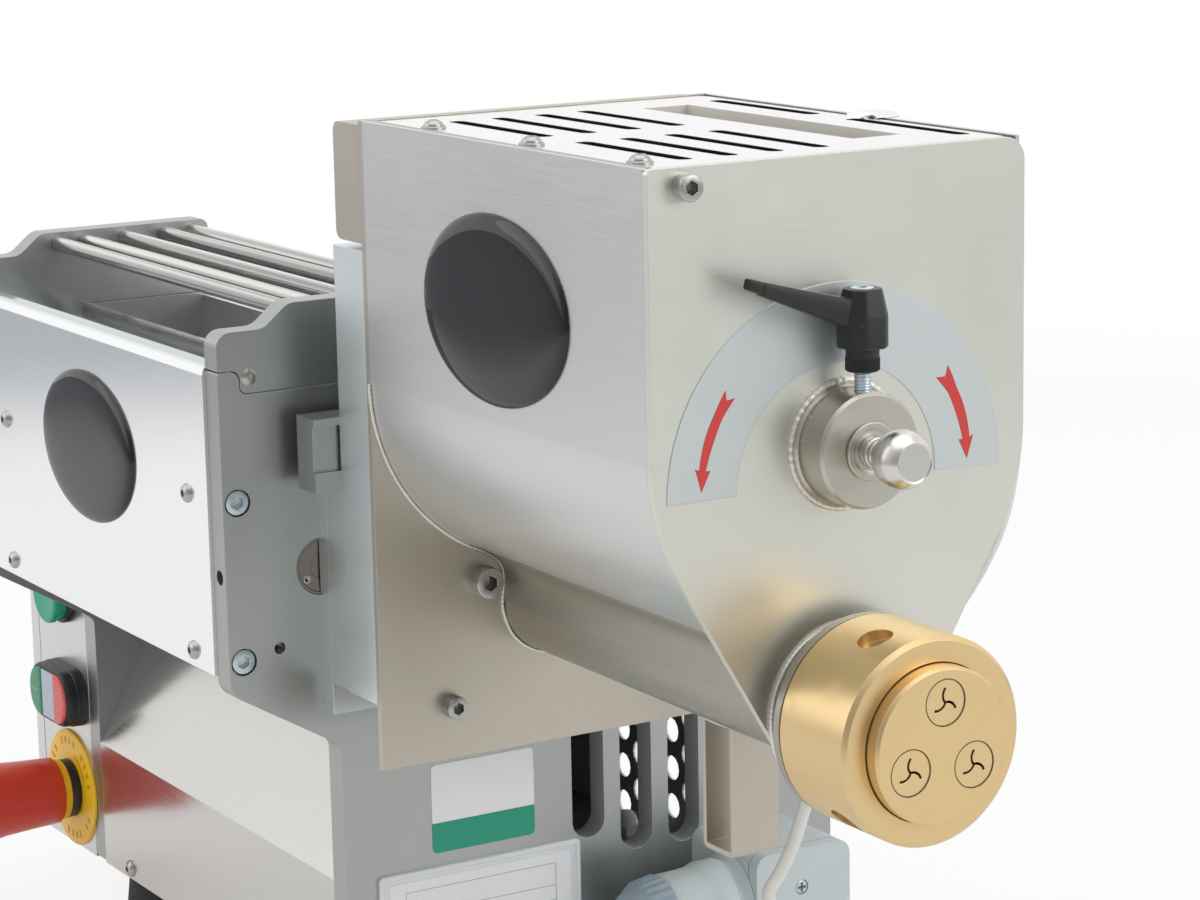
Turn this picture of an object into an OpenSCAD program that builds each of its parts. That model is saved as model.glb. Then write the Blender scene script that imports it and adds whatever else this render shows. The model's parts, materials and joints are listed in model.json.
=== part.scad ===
// Electric pasta maker: a sheeting roller stand with a kneading and extruding
// attachment on its right side.
// Working axes: X = 0 on the outer face of the right side plate, Y = 0 in the
// plane of the extruder's shafts, Z = 0 on the table. placed() then moves the
// finished machine so that its origin is the middle of its footprint.

/* [Side plates] */
// Clear width between the two side plates
plate_gap = 240; // [230:2:260]
// Thickness of a side plate
plate_t = 11; // [10:0.5:12]
// Height of the rubber feet
foot_h = 19; // [17:1:22]
// Radius of a rubber foot
foot_r = 22.5; // [20:0.5:23]
// Front edge of the plates' head
head_y = -116.6; // [-117:0.2:-116]
// Front edge of the plates below the head
leg_y = -69.5; // [-70:0.5:-69]
// Rear edge of the plates
rear_y = 167.4; // [160:1:175]
// Top edge of the plates
plate_top = 282.7; // [281:0.5:284]
// Top of the guard's side cheeks
cheek_top = 316.5; // [315:0.5:319]

/* [Rollers] */
// Roller diameter
roller_d = 74; // [72:0.5:74.5]
// Roller length
roller_len = 220; // [215:1:220]
// Smallest gap between the rollers
nip = 0.25; // [0.2:0.05:0.5]
// Tilt of the line from the rear shaft to the eccentric shaft
nip_tilt = 9.56; // [9:0.1:10]
// Throw of the eccentric shaft
throw = 2; // [1.5:0.1:2]
// Turn of the thickness knob
gap_turn = 80; // [60:5:80]
// Radius of the eccentric shaft's ends
ecc_r = 11.6; // [11:0.1:12]
// Radius of the eccentric middle of that shaft
ecc_mid_r = 8; // [7:0.2:8]
// Outer radius of the sleeves that carry the front roller
sleeve_r = 10; // [9.6:0.1:11]
// Radius of the rear roller's journals
journal_r = 12; // [11:0.5:12.5]
// Teeth on each roller gear
roller_teeth = 30; // [26:1:32]
// Teeth on the drive pinion
pinion_teeth = 15; // [14:1:16]

/* [Extruder body] */
// Outer length of the kneading tank between its end plates
tank_len = 197; // [190:1:205]
// Outer radius of the tank's bowl
bowl_r = 76.6; // [75:0.2:78]
// Thickness of the tank's sheet
tank_t = 1.5; // [1.2:0.1:2]
// Height of the tank's top edge
tank_top = 390; // [388:1:394]
// Thickness of the front and back plates
end_t = 3; // [2.5:0.5:3]
// Height of the auger's axis
auger_z = 198; // [197:0.5:199]
// Outer radius of the barrel
barrel_r = 21.5; // [21:0.5:23]
// Radius of the barrel's bore
bore_r = 17.5; // [17:0.1:18]

/* [Extruder drive] */
// Module of the extruder's gears
drive_m = 1.5; // [1.5:0.01:1.52]
// Teeth on the auger's gear
auger_teeth = 24; // [24:1:25]
// Teeth on the idler gear
idler_teeth = 27; // [26:1:27]
// Teeth on the paddle's gear
paddle_teeth = 46; // [45:1:47]
// Pitch of the auger's flight
auger_pitch = 30; // [24:1:36]

/* [Die] */
// Outer radius of the ring nut
nut_r = 36.2; // [35:0.2:38]
// Length of the ring nut
nut_len = 37.8; // [36:0.2:40]
// Radius of the die disc's raised face
die_r = 27.1; // [25:0.1:27.5]
// Radius of one brass insert
insert_r = 8; // [7:0.1:8.5]
// Distance of the inserts from the axis
insert_at = 15; // [14.5:0.1:16]
// Angle of the first insert
insert_turn = 87; // [80:1:95]

/* [Lid] */
// Thickness of the lid's sheet
lid_t = 1.5; // [1.2:0.1:1.5]
// Width of the lid's vent slots
slot_w = 6.5; // [5:0.5:7]
// Length of the lid's vent slots
slot_len = 70; // [60:1:70]

/* [Controls] */
// Width of the control box
box_w = 67; // [62:1:75]
// Height of the control box
box_h = 149; // [146:1:155]
// Depth of the control box
box_d = 94.6; // [85:1:100]
// Travel of the push buttons
push = 3; // [2:0.5:3]
// Travel of the emergency stop
stop_push = 4; // [3:0.5:4]

/* [Hidden] */

fit = 0.05;      // running clearance on a radius
gap = 0.3;       // clearance between neighbours
weld = 0.02;     // clearance between pieces that are pressed or welded together
lap = 1;         // how far a cut runs past a face
arc_n = 6;       // steps in a rounded corner

// plates
right_in = -plate_t;
left_in = right_in - plate_gap;
left_out = left_in - plate_t;
sheet_t = 1.5;
floor_z = foot_h;
base_top = floor_z + 3;
chute_screw_z = floor_z + 5;
screw_in = 8;
roof_back = 41;
rear_low = 153.5;
nub_y = head_y + 9.1;
nub_h = 9.3;
cheek_back = -4;

// rollers, gears and shafts, as [Y, Z]
rear_axis = [0, auger_z];
roller_r = roller_d / 2;
half_turn = gap_turn / 2;
in_off = throw * sin(half_turn);
up_off = throw * cos(half_turn);
to_front = 180 - nip_tilt;
ecc_dist = in_off + sqrt(pow(roller_d + nip, 2) - pow(up_off, 2));
ecc_axis = rear_axis + ecc_dist * dir(to_front);
front_axis = ecc_axis - in_off * dir(to_front) + up_off * dir(to_front - 90);
front_angle = angle_of(front_axis - rear_axis);
end_gap = (plate_gap - roller_len) / 2;
roller_x0 = left_in + end_gap;
roller_x1 = right_in - end_gap;
gear_x0 = left_in + 1;
gear_x1 = roller_x0 - 2;
roller_m = roller_d / roller_teeth;
pinion_angle = -65;
pinion_axis = rear_axis + (roller_teeth + pinion_teeth) * roller_m / 2 * dir(pinion_angle);
pinion_r = 8;
bush_r = 16;
sleeve_len = 20;
coupling_x = 2;
tongue_len = 8;
tongue_w = 8;
coupling_r = 11;
tie_y = -110.2;
tie_z = [176.8, 240.4];
tie_r = 6.3;
tie_end_r = 4;
bar_y = [-77.6, -64.6, -45.1, -25.6, -11.6];
bar_r = 3.25;
bar_z = cheek_top - 5.3;
bar_seat = 5.5;
knob_r = 24;
knob_x0 = left_out - 36;
knob_x1 = left_out - 5;
scraper_bar = 8;

// control box
box_x0 = left_out - box_w;
box_y = leg_y - 0.1;
box_y1 = box_y + box_d;
box_wall = 2;
button_x = left_out - 24;
green_z = 142.3;
twin_z = 93.7;
stop_z = 47;
twin_w = 47;
twin_h = 28;
twin_deep = 10.4;
stem_in = 6;
stop_stem_r = 11;

// column between the stand and the tank
adapter_t = 8;
spacer_x = adapter_t;
case_x0 = 23;
case_x1 = 47;
tank_x0 = case_x1 + end_t;
tank_x1 = tank_x0 + tank_len;
face_x = tank_x1 + end_t;
idler_z = auger_z + (auger_teeth + idler_teeth) * drive_m / 2;
paddle_z = idler_z + (idler_teeth + paddle_teeth) * drive_m / 2;
case_z0 = 165;
case_z1 = 341;
case_wall = 4;
drive_x0 = case_x0 + case_wall + 4;
drive_x1 = case_x1 - 4;
shaft_r = 8;
square = 7.6;
auger_r = bore_r - gap;
auger_end = face_x + 26;
feed_x0 = tank_x0 + 10;
feed_x1 = tank_x1 - 67;
feed_y = 12;
saddle_t = 0.38;

// tank front
boss_r = 20;
boss_len = 15.7;
bush_out = 8;
pin_r = 5.2;
stud_x = face_x + 11.2;
stud_r = 3;
lever_z = paddle_z + 33;
nose_r = 30;
nose_len = 34;
ring_r = 36;
nut_x0 = face_x + 12.5;
nut_x1 = nut_x0 + nut_len;
nut_lip = 6;
die_flange = 10;
lid_z1 = tank_top - 0.4;
lid_z0 = lid_z1 - lid_t;
lid_edge = bowl_r - 4;
lid_pin_y = -lid_edge - 0.8;
lid_pin_z = lid_z0 + 0.7;
lid_front = lid_pin_y + 1.8;
knuckle_r = 1.5;
knuckles = 7;
mouth_x = [tank_x0 + 27, tank_x1 - 31];
mouth_y = [28.4, 49.4];
rim_deep = 8;
screw_y = lid_pin_y + 6.4;
screw_ends = [tank_x0 + 38.5, tank_x1 - 16.6];
screw_x = [screw_ends[0], (screw_ends[0] + screw_ends[1]) / 2, screw_ends[1]];

// switch lead: points along its way, chosen by hand
cable_r = 2.75;
cable_route = [[50, 110, 27], [58, 109.5, 27], [66, 107.5, 28], [74, 102, 33], [80, 94, 42],
    [82.5, 85, 54], [83, 79, 68], [84, 84, 77], [86, 89.4, 89], [90, 92, 104], [101, 90, 121],
    [122, 85, 143], [152, 82, 168], [184, 82, 194], [210, 84, 222], [228, 85, 252],
    [235, 84, 284], [228, 82, 312], [208, 81, 336], [184, 81, 352], [167, 81.5, 360],
    [162, 81.5, 366]];

// footprint, for the origin
stop_front = -126.6;
mid_x = (box_x0 + nut_x1 + 6) / 2;
mid_y = (stop_front + rear_y) / 2;

function dir(a) = [cos(a), sin(a)];
function angle_of(v) = atan2(v[1], v[0]);
function unit(v) = v / norm(v);
function turn_to(a, b) = let (d = b - a) d > 180 ? d - 360 : d < -180 ? d + 360 : d;

// one rounded corner at p, between its neighbours a and b
function corner(a, p, b, r) = let (
        u = unit(a - p), v = unit(b - p),
        half = acos(u * v) / 2,
        c = p + unit(u + v) * r / sin(half),
        from = angle_of(p + u * r / tan(half) - c),
        sweep = turn_to(from, angle_of(p + v * r / tan(half) - c)))
    [for (i = [0:arc_n]) c + r * dir(from + sweep * i / arc_n)];

// an outline from corners given as [y, z, radius]
function rounded(pts) = let (n = len(pts)) [for (i = [0:n - 1])
    let (p = pts[i], a = pts[(i + n - 1) % n], b = pts[(i + 1) % n])
    for (q = p[2] > 0 ? corner([a[0], a[1]], [p[0], p[1]], [b[0], b[1]], p[2]) : [[p[0], p[1]]]) q];

// a bent sheet of thickness t to the left of an open path
function sheet(path, t) = let (n = len(path)) concat(path,
    [for (i = [n - 1:-1:0]) path[i] + t * sheet_side(path, i, n)]);
function sheet_side(path, i, n) = let (
        u = unit(path[max(i, 1)] - path[max(i, 1) - 1]),
        v = unit(path[min(i, n - 2) + 1] - path[min(i, n - 2)]),
        m = unit([-u[1] - v[1], u[0] + v[0]]))
    m / (m * [-u[1], u[0]]);

// involute tooth, half angle at radius r for pitch radius rp
function involute(a) = tan(a) * 180 / PI - a;
function half_tooth(r, rp, teeth) = 90 / teeth * 0.88 + involute(20)
    - involute(acos(min(1, rp * cos(20) / r)));
function mesh_phase(teeth_a, phase_a, teeth_b, way) =
    way + 180 + (way - phase_a) * teeth_a / teeth_b + 180 / teeth_b;

// ---- helpers ----
module placed() { translate([-mid_x, -mid_y, 0]) children(); }

module along_x(x0, x1) {
    translate([x0, 0, 0]) rotate([90, 0, 90]) linear_extrude(x1 - x0) children();
}

module along_y(y0, y1) {
    translate([0, y1, 0]) rotate([90, 0, 0]) linear_extrude(y1 - y0) children();
}

module bar_x(x0, x1, r, at, sides = 48) {
    translate([x0, at[0], at[1]]) rotate([0, 90, 0]) cylinder(h = x1 - x0, r = r, $fn = sides);
}

module cone_x(x0, x1, r0, r1, at) {
    translate([x0, at[0], at[1]]) rotate([0, 90, 0]) cylinder(h = x1 - x0, r1 = r0, r2 = r1, $fn = 48);
}

module bar_y(y0, y1, r, at, sides = 48) {
    translate([at[0], y0, at[1]]) rotate([-90, 0, 0]) cylinder(h = y1 - y0, r = r, $fn = sides);
}

module bar_z(z0, z1, r, at) {
    translate([at[0], at[1], z0]) cylinder(h = z1 - z0, r = r, $fn = 48);
}

module block(x0, x1, y0, y1, z0, z1) {
    translate([x0, y0, z0]) cube([x1 - x0, y1 - y0, z1 - z0]);
}

module slot_2d(length, width) {
    square([length - width, width], center = true);
    for (side = [-1, 1]) translate([side * (length - width) / 2, 0]) circle(d = width, $fn = 32);
}

module round_rect(w, h, r) {
    polygon(rounded([[-w / 2, -h / 2, r], [w / 2, -h / 2, r], [w / 2, h / 2, r], [-w / 2, h / 2, r]]));
}

module gear_2d(teeth, m, phase) {
    rp = teeth * m / 2;
    root = rp - 1.2 * m;
    tip = rp + 0.85 * m;
    circle(r = root, $fn = 60);
    for (i = [0:teeth - 1]) rotate(phase + i * 360 / teeth)
        polygon(concat(
            [for (r = [root - 0.4, rp - 0.6 * m, rp, tip]) r * dir(-half_tooth(r, rp, teeth))],
            [for (r = [tip, rp, rp - 0.6 * m, root - 0.4]) r * dir(half_tooth(r, rp, teeth))]));
}

module gear_x(x0, x1, teeth, m, phase, at) {
    translate([0, at[0], at[1]]) along_x(x0, x1) gear_2d(teeth, m, phase);
}

// ---- stand: plates and sheets ----
module plate_2d() {
    polygon(rounded([[leg_y, floor_z, 2], [leg_y, 136.4, 6], [head_y, 164.4, 8],
        [head_y, plate_top + nub_h, 1], [nub_y, plate_top + nub_h, 4], [nub_y, plate_top, 3],
        [roof_back, plate_top, 10], [rear_y, rear_low, 10], [rear_y, floor_z, 2]]));
}

module vents_2d() {
    width = 15.5;
    for (v = [[44.4, 77, 150], [67.9, 68, 150], [91.6, 67, 150]])
        translate([v[0], (v[1] + v[2]) / 2]) rotate(90) slot_2d(v[2] - v[1], width);
}

module side_plate(x0) {
    difference() {
        along_x(x0, x0 + plate_t) difference() {
            plate_2d();
            vents_2d();
            translate(ecc_axis) circle(r = ecc_r + fit, $fn = 48);
            translate(rear_axis) circle(r = bush_r + weld, $fn = 48);
        }
        children();
    }
}

module right_side_plate() {
    color([0.62, 0.63, 0.64]) side_plate(right_in) {
        for (z = tie_z) {
            bar_x(-3.2, lap, 5.5, [tie_y, z]);
            bar_x(right_in - lap, 0, 3 + fit, [tie_y, z]);
        }
        bar_x(right_in - lap, lap, 2.4, [head_y + 22, 180.2]);
        bar_y(head_y - lap, head_y + 16, 3, [right_in / 2, ecc_axis[1]]);
    }
}

module left_side_plate() {
    color([0.66, 0.67, 0.68]) side_plate(left_out) {
        for (z = tie_z) bar_x(left_out - lap, left_in + lap, tie_end_r + fit, [tie_y, z]);
        bar_x(left_out - lap, left_in + lap, pinion_r + fit, pinion_axis);
        bar_y(head_y - lap, head_y + 16, 3, [left_in - plate_t / 2, ecc_axis[1]]);
    }
}

module cheek_2d() {
    low = plate_top + gap;
    polygon(rounded([[head_y, low + nub_h, 0.8], [head_y, cheek_top - 9.1, 6],
        [head_y + 20, cheek_top - 9.1, 8], [head_y + 31, cheek_top, 8], [cheek_back, cheek_top, 4],
        [cheek_back, low, 2], [nub_y + gap, low, 3], [nub_y + gap, low + nub_h, 3.6]]));
}

module side_cheeks() {
    color([0.64, 0.65, 0.66]) difference() {
        for (x0 = [right_in, left_out]) along_x(x0, x0 + plate_t) cheek_2d();
        for (y = bar_y) bar_x(left_in - bar_seat - gap, right_in + bar_seat + gap, bar_r + fit, [y, bar_z], 32);
    }
}

module guard_bars() {
    color([0.75, 0.75, 0.76])
        for (y = bar_y) bar_x(left_in - bar_seat, right_in + bar_seat, bar_r, [y, bar_z], 32);
}

module front_panel() {
    low = 170;
    top = 295;
    flat_to = head_y + 26;
    bend = 4;
    color([0.85, 0.86, 0.87]) difference() {
        along_x(left_in, right_in) polygon(sheet(concat([[head_y, low]],
            [for (a = [180:-30:90]) [head_y + bend, top - sheet_t - bend] + bend * dir(a)],
            [for (a = [90:-26:12]) [flat_to - bend, top - sheet_t - bend] + bend * dir(a)],
            [[flat_to + 8, 254]]), sheet_t));
        for (x = panel_screw_x()) for (z = tie_z) bar_y(head_y - 3, head_y + lap, 3, [x, z], 24);
    }
}

module rear_cover() {
    hole = 6;
    row = 18.5;
    column = 14.5;
    first = [-125, 37.2];
    inner = rear_y - 3;
    color([0.8, 0.81, 0.82]) difference() {
        along_x(left_in, right_in) polygon(sheet([[inner, floor_z], [inner, rear_low - 3],
            [roof_back - 1, plate_top - 3.2], [-6, plate_top - 3.2], [-12, 239]], -sheet_t));
        for (i = [-3:6]) for (j = [0:4])
            translate([first[0] + i * column, inner - 1, first[1] + (j - (abs(i) % 2) / 2) * row])
                rotate([-90, 0, 0]) cylinder(h = 4, r = hole, $fn = 12);
    }
}

module chute() {
    bend = 77;
    reach = 37;
    color([0.86, 0.87, 0.88]) difference() {
        along_x(left_in, right_in) polygon(sheet([[leg_y, floor_z], [leg_y, bend],
            [leg_y + reach, bend + reach * tan(60.3)]], -sheet_t));
        for (x = chute_screw_x()) bar_y(leg_y - lap, leg_y + 3, 3, [x, chute_screw_z], 24);
    }
}

module base_plate() {
    color([0.7, 0.7, 0.71]) difference() {
        block(left_in, right_in, leg_y + sheet_t + weld, rear_y - 3 - weld, floor_z, base_top);
        for (x = chute_screw_x()) bar_y(leg_y, leg_y + screw_in + gap, 3 + weld, [x, chute_screw_z], 24);
    }
}

module feet() {
    color([0.09, 0.09, 0.09])
        for (x = [left_in + 31.5, right_in - 31.5]) for (y = [leg_y + 20.5, rear_y - foot_r])
            translate([x, y, 0]) rotate_extrude($fn = 48)
                polygon([[0, 4], [7, 4], [7, 0], [foot_r - 1.5, 0], [foot_r, 1.5],
                    [foot_r - 2, foot_h], [0, foot_h]]);
}

module tie_rods() {
    color([0.7, 0.7, 0.72]) for (z = tie_z) {
        difference() {
            union() {
                bar_x(roller_x0 + 1, right_in, tie_r, [tie_y, z]);
                bar_x(left_out - 8, roller_x0 + 1, tie_end_r, [tie_y, z]);
            }
            bar_x(right_in - 14, right_in + lap, 3, [tie_y, z]);
            for (x = panel_screw_x()) bar_y(tie_y - tie_r - 1, tie_y + 2, 3, [x, z], 24);
        }
        difference() {
            bar_x(left_out - 6.5, left_out, 7.5, [tie_y, z], 6);
            bar_x(left_out - 8, left_out + 1, tie_end_r + weld, [tie_y, z]);
        }
    }
}

module scrapers() {
    reach = roller_r + 0.5;
    color([0.55, 0.56, 0.57]) for (s = [[rear_axis, 235, 246], [front_axis, 305, 294]]) {
        tip = s[0] + reach * dir(s[1]);
        heel = s[0] + (roller_r + 17) * dir(s[2]);
        along_x(roller_x0 + 1, roller_x1 - 1)
            polygon([tip, heel + 1.5 * dir(s[2] - 90), heel - 1.5 * dir(s[2] - 90)]);
        along_x(left_in, right_in) translate(heel) square(scraper_bar, center = true);
    }
}

// ---- rollers and their shafts ----
module front_roller() {
    phase = mesh_phase(roller_teeth, front_angle, roller_teeth, front_angle);
    color([0.8, 0.81, 0.82]) difference() {
        union() {
            bar_x(roller_x0, roller_x1, roller_r, front_axis);
            bar_x(gear_x1, roller_x0, 20, front_axis);
            gear_x(gear_x0, gear_x1, roller_teeth, roller_m, phase, front_axis);
        }
        bar_x(gear_x0 - lap, roller_x1 + lap, sleeve_r + fit, front_axis);
        bar_x(gear_x0 + sleeve_len + 2, roller_x1 - sleeve_len, sleeve_r + 3, front_axis);
    }
}

module rear_roller() {
    color([0.8, 0.81, 0.82]) union() {
        bar_x(roller_x0, roller_x1, roller_r, rear_axis);
        bar_x(left_out, coupling_x, journal_r, rear_axis);
        bar_x(gear_x1, roller_x0, 20, rear_axis);
        gear_x(gear_x0, gear_x1, roller_teeth, roller_m, front_angle, rear_axis);
        intersection() {
            bar_x(coupling_x, coupling_x + tongue_len, coupling_r, rear_axis);
            block(0, 20, -20, 20, auger_z - tongue_w / 2, auger_z + tongue_w / 2);
        }
    }
}

module roller_bushes() {
    color([0.72, 0.52, 0.28]) for (x0 = [left_out, right_in]) difference() {
        bar_x(x0, x0 + plate_t, bush_r, rear_axis);
        bar_x(x0 - lap, x0 + plate_t + lap, journal_r + fit, rear_axis);
    }
}

module eccentric_shaft() {
    color([0.35, 0.35, 0.36]) difference() {
        union() {
            bar_x(right_in, -3, ecc_r, ecc_axis);
            bar_x(left_in, right_in, ecc_mid_r, front_axis);
            bar_x(knob_x1, left_in, ecc_r, ecc_axis);
            bar_x(knob_x0 + 4, knob_x1, ecc_mid_r, ecc_axis);
        }
        bar_x(-7, 0, 2.2, ecc_axis + [-5, 2]);
    }
}

module roller_sleeves() {
    color([0.72, 0.52, 0.28]) for (x = [[left_in + 0.5, gear_x0 + sleeve_len], [roller_x1 - sleeve_len, right_in - 0.5]])
        difference() {
            bar_x(x[0], x[1], sleeve_r, front_axis);
            bar_x(x[0] - lap, x[1] + lap, ecc_mid_r + fit, front_axis);
        }
}

module gap_knob() {
    flutes = 9;
    color([0.08, 0.08, 0.09]) difference() {
        union() {
            bar_x(knob_x0 + 10, knob_x1, knob_r, ecc_axis);
            cone_x(knob_x0, knob_x0 + 10, knob_r - 4, knob_r, ecc_axis);
        }
        bar_x(knob_x0 + 4 - gap, knob_x1 + lap, ecc_mid_r + weld, ecc_axis);
        for (i = [0:flutes - 1]) bar_x(knob_x0 - lap, knob_x1 - 8, 5,
            ecc_axis + (knob_r + 2.5) * dir(i * 360 / flutes), 24);
    }
}

module drive_pinion() {
    phase = mesh_phase(roller_teeth, front_angle, pinion_teeth, pinion_angle);
    color([0.5, 0.5, 0.52]) union() {
        bar_x(left_out + 1, roller_x0 + 25, pinion_r, pinion_axis);
        gear_x(gear_x0, gear_x1, pinion_teeth, roller_m, phase, pinion_axis);
    }
}

module gearbox() {
    x0 = roller_x0 + 1;
    x1 = roller_x0 + 41;
    y0 = pinion_axis[0] - 30;
    color([0.5, 0.52, 0.54]) difference() {
        union() {
            along_x(x0, x1) translate([y0, base_top]) polygon(rounded([[0, 0, 1], [60, 0, 1],
                [60, 100, 10], [46, 137, 10], [14, 137, 10], [0, 100, 10]]));
            bar_x(x1, x1 + 6, 40, [y0 + 30, base_top + 52]);
        }
        bar_x(x0 - lap, roller_x0 + 26, pinion_r + fit, pinion_axis);
    }
}

module motor() {
    x0 = roller_x0 + 47;
    at = [pinion_axis[0], base_top + 52];
    fins = 24;
    color([0.35, 0.37, 0.4]) {
        bar_x(x0, x0 + 12, 48, at);
        bar_x(x0 + 12, x0 + 110, 43, at);
        bar_x(x0 + 110, x0 + 130, 46, at);
        for (i = [0:fins - 1]) translate([0, at[0], at[1]]) along_x(x0 + 12, x0 + 110)
            rotate(i * 360 / fins) translate([42, -1]) square([5, 2]);
        block(x0 + 20, x0 + 90, at[0] - 25, at[0] + 25, base_top, at[1] - 40);
    }
}

// ---- controls ----
module control_box() {
    color([0.78, 0.79, 0.8]) difference() {
        along_y(box_y, box_y1) translate([box_x0, floor_z])
            polygon(rounded([[0, 0, 3], [box_w, 0, 0], [box_w, box_h, 0], [0, box_h, 3]]));
        block(box_x0 + box_wall, left_out + lap, box_y + box_wall, box_y1 - box_wall,
            floor_z + box_wall, floor_z + box_h - box_wall);
        bar_y(box_y - lap, box_y + 5, 9.3, [button_x, green_z]);
        for (side = [-1, 1]) bar_y(box_y - lap, box_y + 5, 3.3, [button_x + side * 16, twin_z], 24);
        bar_y(box_y - lap, box_y + 5, stop_stem_r + fit, [button_x, stop_z]);
        block(box_x0 + 9, box_x0 + 9.8, box_y - lap, box_y + 0.6, floor_z - lap, floor_z + box_h + lap);
    }
}

module twin_2d(inset) {
    translate([button_x, twin_z]) round_rect(twin_w - 2 * inset, twin_h - 2 * inset, 13 - inset);
}

module button_bezels() {
    rim = 2;
    pocket = 8;
    color([0.07, 0.07, 0.08]) {
        difference() {
            bar_y(box_y - 3.6, box_y, 14.6, [button_x, green_z]);
            bar_y(box_y - 5, box_y + 1, 12.7, [button_x, green_z]);
        }
        difference() {
            along_y(box_y - twin_deep, box_y) twin_2d(0);
            along_y(box_y - twin_deep - lap, box_y - twin_deep + pocket) twin_2d(rim);
            for (side = [-1, 1]) bar_y(box_y - twin_deep, box_y + lap, 3.3, [button_x + side * 16, twin_z], 24);
        }
        along_y(box_y - twin_deep - 0.5, box_y - twin_deep + pocket) intersection() {
            twin_2d(rim + gap);
            translate([button_x - 7, twin_z - twin_h]) square([14, 2 * twin_h]);
        }
    }
}

module green_button() {
    color([0.02, 0.5, 0.38]) union() {
        bar_y(box_y - 10.5, box_y - 3.6 - push - gap, 13.8, [button_x, green_z]);
        bar_y(box_y - 8, box_y - 0.2 - push, 12.6, [button_x, green_z]);
        bar_y(box_y - 5, box_y + 3, 9.2, [button_x, green_z]);
    }
}

module half_button(side) {
    front = box_y - twin_deep - 1;
    union() {
        along_y(front, front + 5) intersection() {
            twin_2d(2 + gap);
            translate([button_x + (side < 0 ? -twin_w : 7 + gap), twin_z - twin_h])
                square([twin_w - (side < 0 ? 7 + gap : 0), 2 * twin_h]);
        }
        bar_y(front + 3, box_y + stem_in, 3.2, [button_x + side * 16, twin_z], 24);
    }
}

module start_button() { color([0.3, 0.7, 0.5]) half_button(-1); }

module stop_button() { color([0.85, 0.35, 0.3]) half_button(1); }

module estop_base() {
    at = [button_x, stop_z];
    hole = stop_stem_r + fit;
    color([0.95, 0.75, 0.1]) {
        difference() { bar_y(box_y - 1.5, box_y, 27.9, at); bar_y(box_y - 3, box_y + lap, hole, at); }
        difference() { bar_y(box_y - 12.4, box_y - 6.3 - weld, 14.2, at); bar_y(box_y - 16, box_y, hole, at); }
    }
    color([0.06, 0.06, 0.06])
        difference() { bar_y(box_y - 6.3, box_y - 1.5 - weld, 13.8, at); bar_y(box_y - 9, box_y, hole, at); }
}

module estop_head() {
    skirt = box_y - 10;
    color([0.75, 0.16, 0.12]) translate([button_x, skirt, stop_z]) rotate([90, 0, 0])
        rotate_extrude($fn = 48) let (front = skirt - stop_front)
            polygon([[0, skirt - box_y - 3], [stop_stem_r, skirt - box_y - 3], [stop_stem_r, 7], [14.5, 7], [14.5, 0],
                [15.6, 0], [17.2, front - 20], [19, front - 9], [20, front - 5],
                [19.2, front - 2], [17, front], [0, front]]);
}

// ---- column, gear case and their shafts ----
module adapter_plate() {
    color([0.72, 0.74, 0.76]) difference() {
        block(0, adapter_t, -bowl_r + 0.6, bowl_r, auger_z - 46, auger_z + 47);
        bar_x(-lap, adapter_t + lap, journal_r + 1, rear_axis);
    }
}

module spacer_plate() {
    color([0.74, 0.76, 0.78]) difference() {
        block(spacer_x, case_x0, -bowl_r + 0.6, bowl_r, case_z0, auger_z + 47);
        bar_x(spacer_x - lap, case_x0 + lap, journal_r + 1, rear_axis);
    }
}

module hook_block() {
    color([0.7, 0.72, 0.74]) difference() {
        block(spacer_x, case_x0, -bowl_r - 11, -bowl_r + 36, auger_z + 47, auger_z + 76);
        block(case_x0 - 1.6, case_x0 + lap, -bowl_r - 12, -bowl_r + 37, auger_z + 55, auger_z + 73);
    }
}

module gear_case() {
    room = 1.8;
    color([0.74, 0.76, 0.78]) difference() {
        block(case_x0, case_x1, -bowl_r, bowl_r, case_z0, case_z1);
        for (g = [[auger_teeth, auger_z], [idler_teeth, idler_z], [paddle_teeth, paddle_z]])
            bar_x(case_x0 + case_wall, case_x1 + lap, (g[0] / 2 + 1) * drive_m + room, [0, g[1]]);
        bar_x(case_x0 - lap, case_x0 + case_wall + lap, shaft_r + fit, [0, auger_z]);
        for (z = [idler_z, paddle_z]) bar_x(case_x0 + 1, case_x0 + case_wall + lap, shaft_r + fit, [0, z]);
    }
}

module back_plate() {
    color([0.66, 0.64, 0.6]) difference() {
        block(case_x1, tank_x0, -bowl_r, bowl_r, auger_z - 58.9, tank_top);
        for (z = [auger_z, paddle_z]) bar_x(case_x1 - lap, tank_x0 + lap, shaft_r + fit, [0, z]);
        for (s = plate_screws()) bar_x(case_x1 - lap, tank_x0 + lap, s[2] + weld, [s[0], s[1]], 24);
    }
}

module interlock_box() {
    z0 = case_z1 + 2.7;
    z1 = tank_top - 1.6;
    bend = min(4, (z1 - z0) / 3);
    color([0.7, 0.7, 0.7]) difference() {
        along_y(-bowl_r, bowl_r) polygon(rounded([[case_x1 - 21, z0, bend], [case_x1, z0, 0],
            [case_x1, z1, 0], [case_x1 - 21, z1, bend]]));
        block(case_x1 - 19, case_x1 + lap, -bowl_r + 2, bowl_r - 2, z0 + bend / 2, z1 - bend / 2);
    }
}

module idler_gear() {
    phase = mesh_phase(auger_teeth, 90, idler_teeth, 90);
    color([0.55, 0.55, 0.57]) union() {
        gear_x(drive_x0, drive_x1, idler_teeth, drive_m, phase, [0, idler_z]);
        bar_x(case_x0 + 1 + gap, case_x1 - gap, shaft_r, [0, idler_z]);
    }
}

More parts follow.
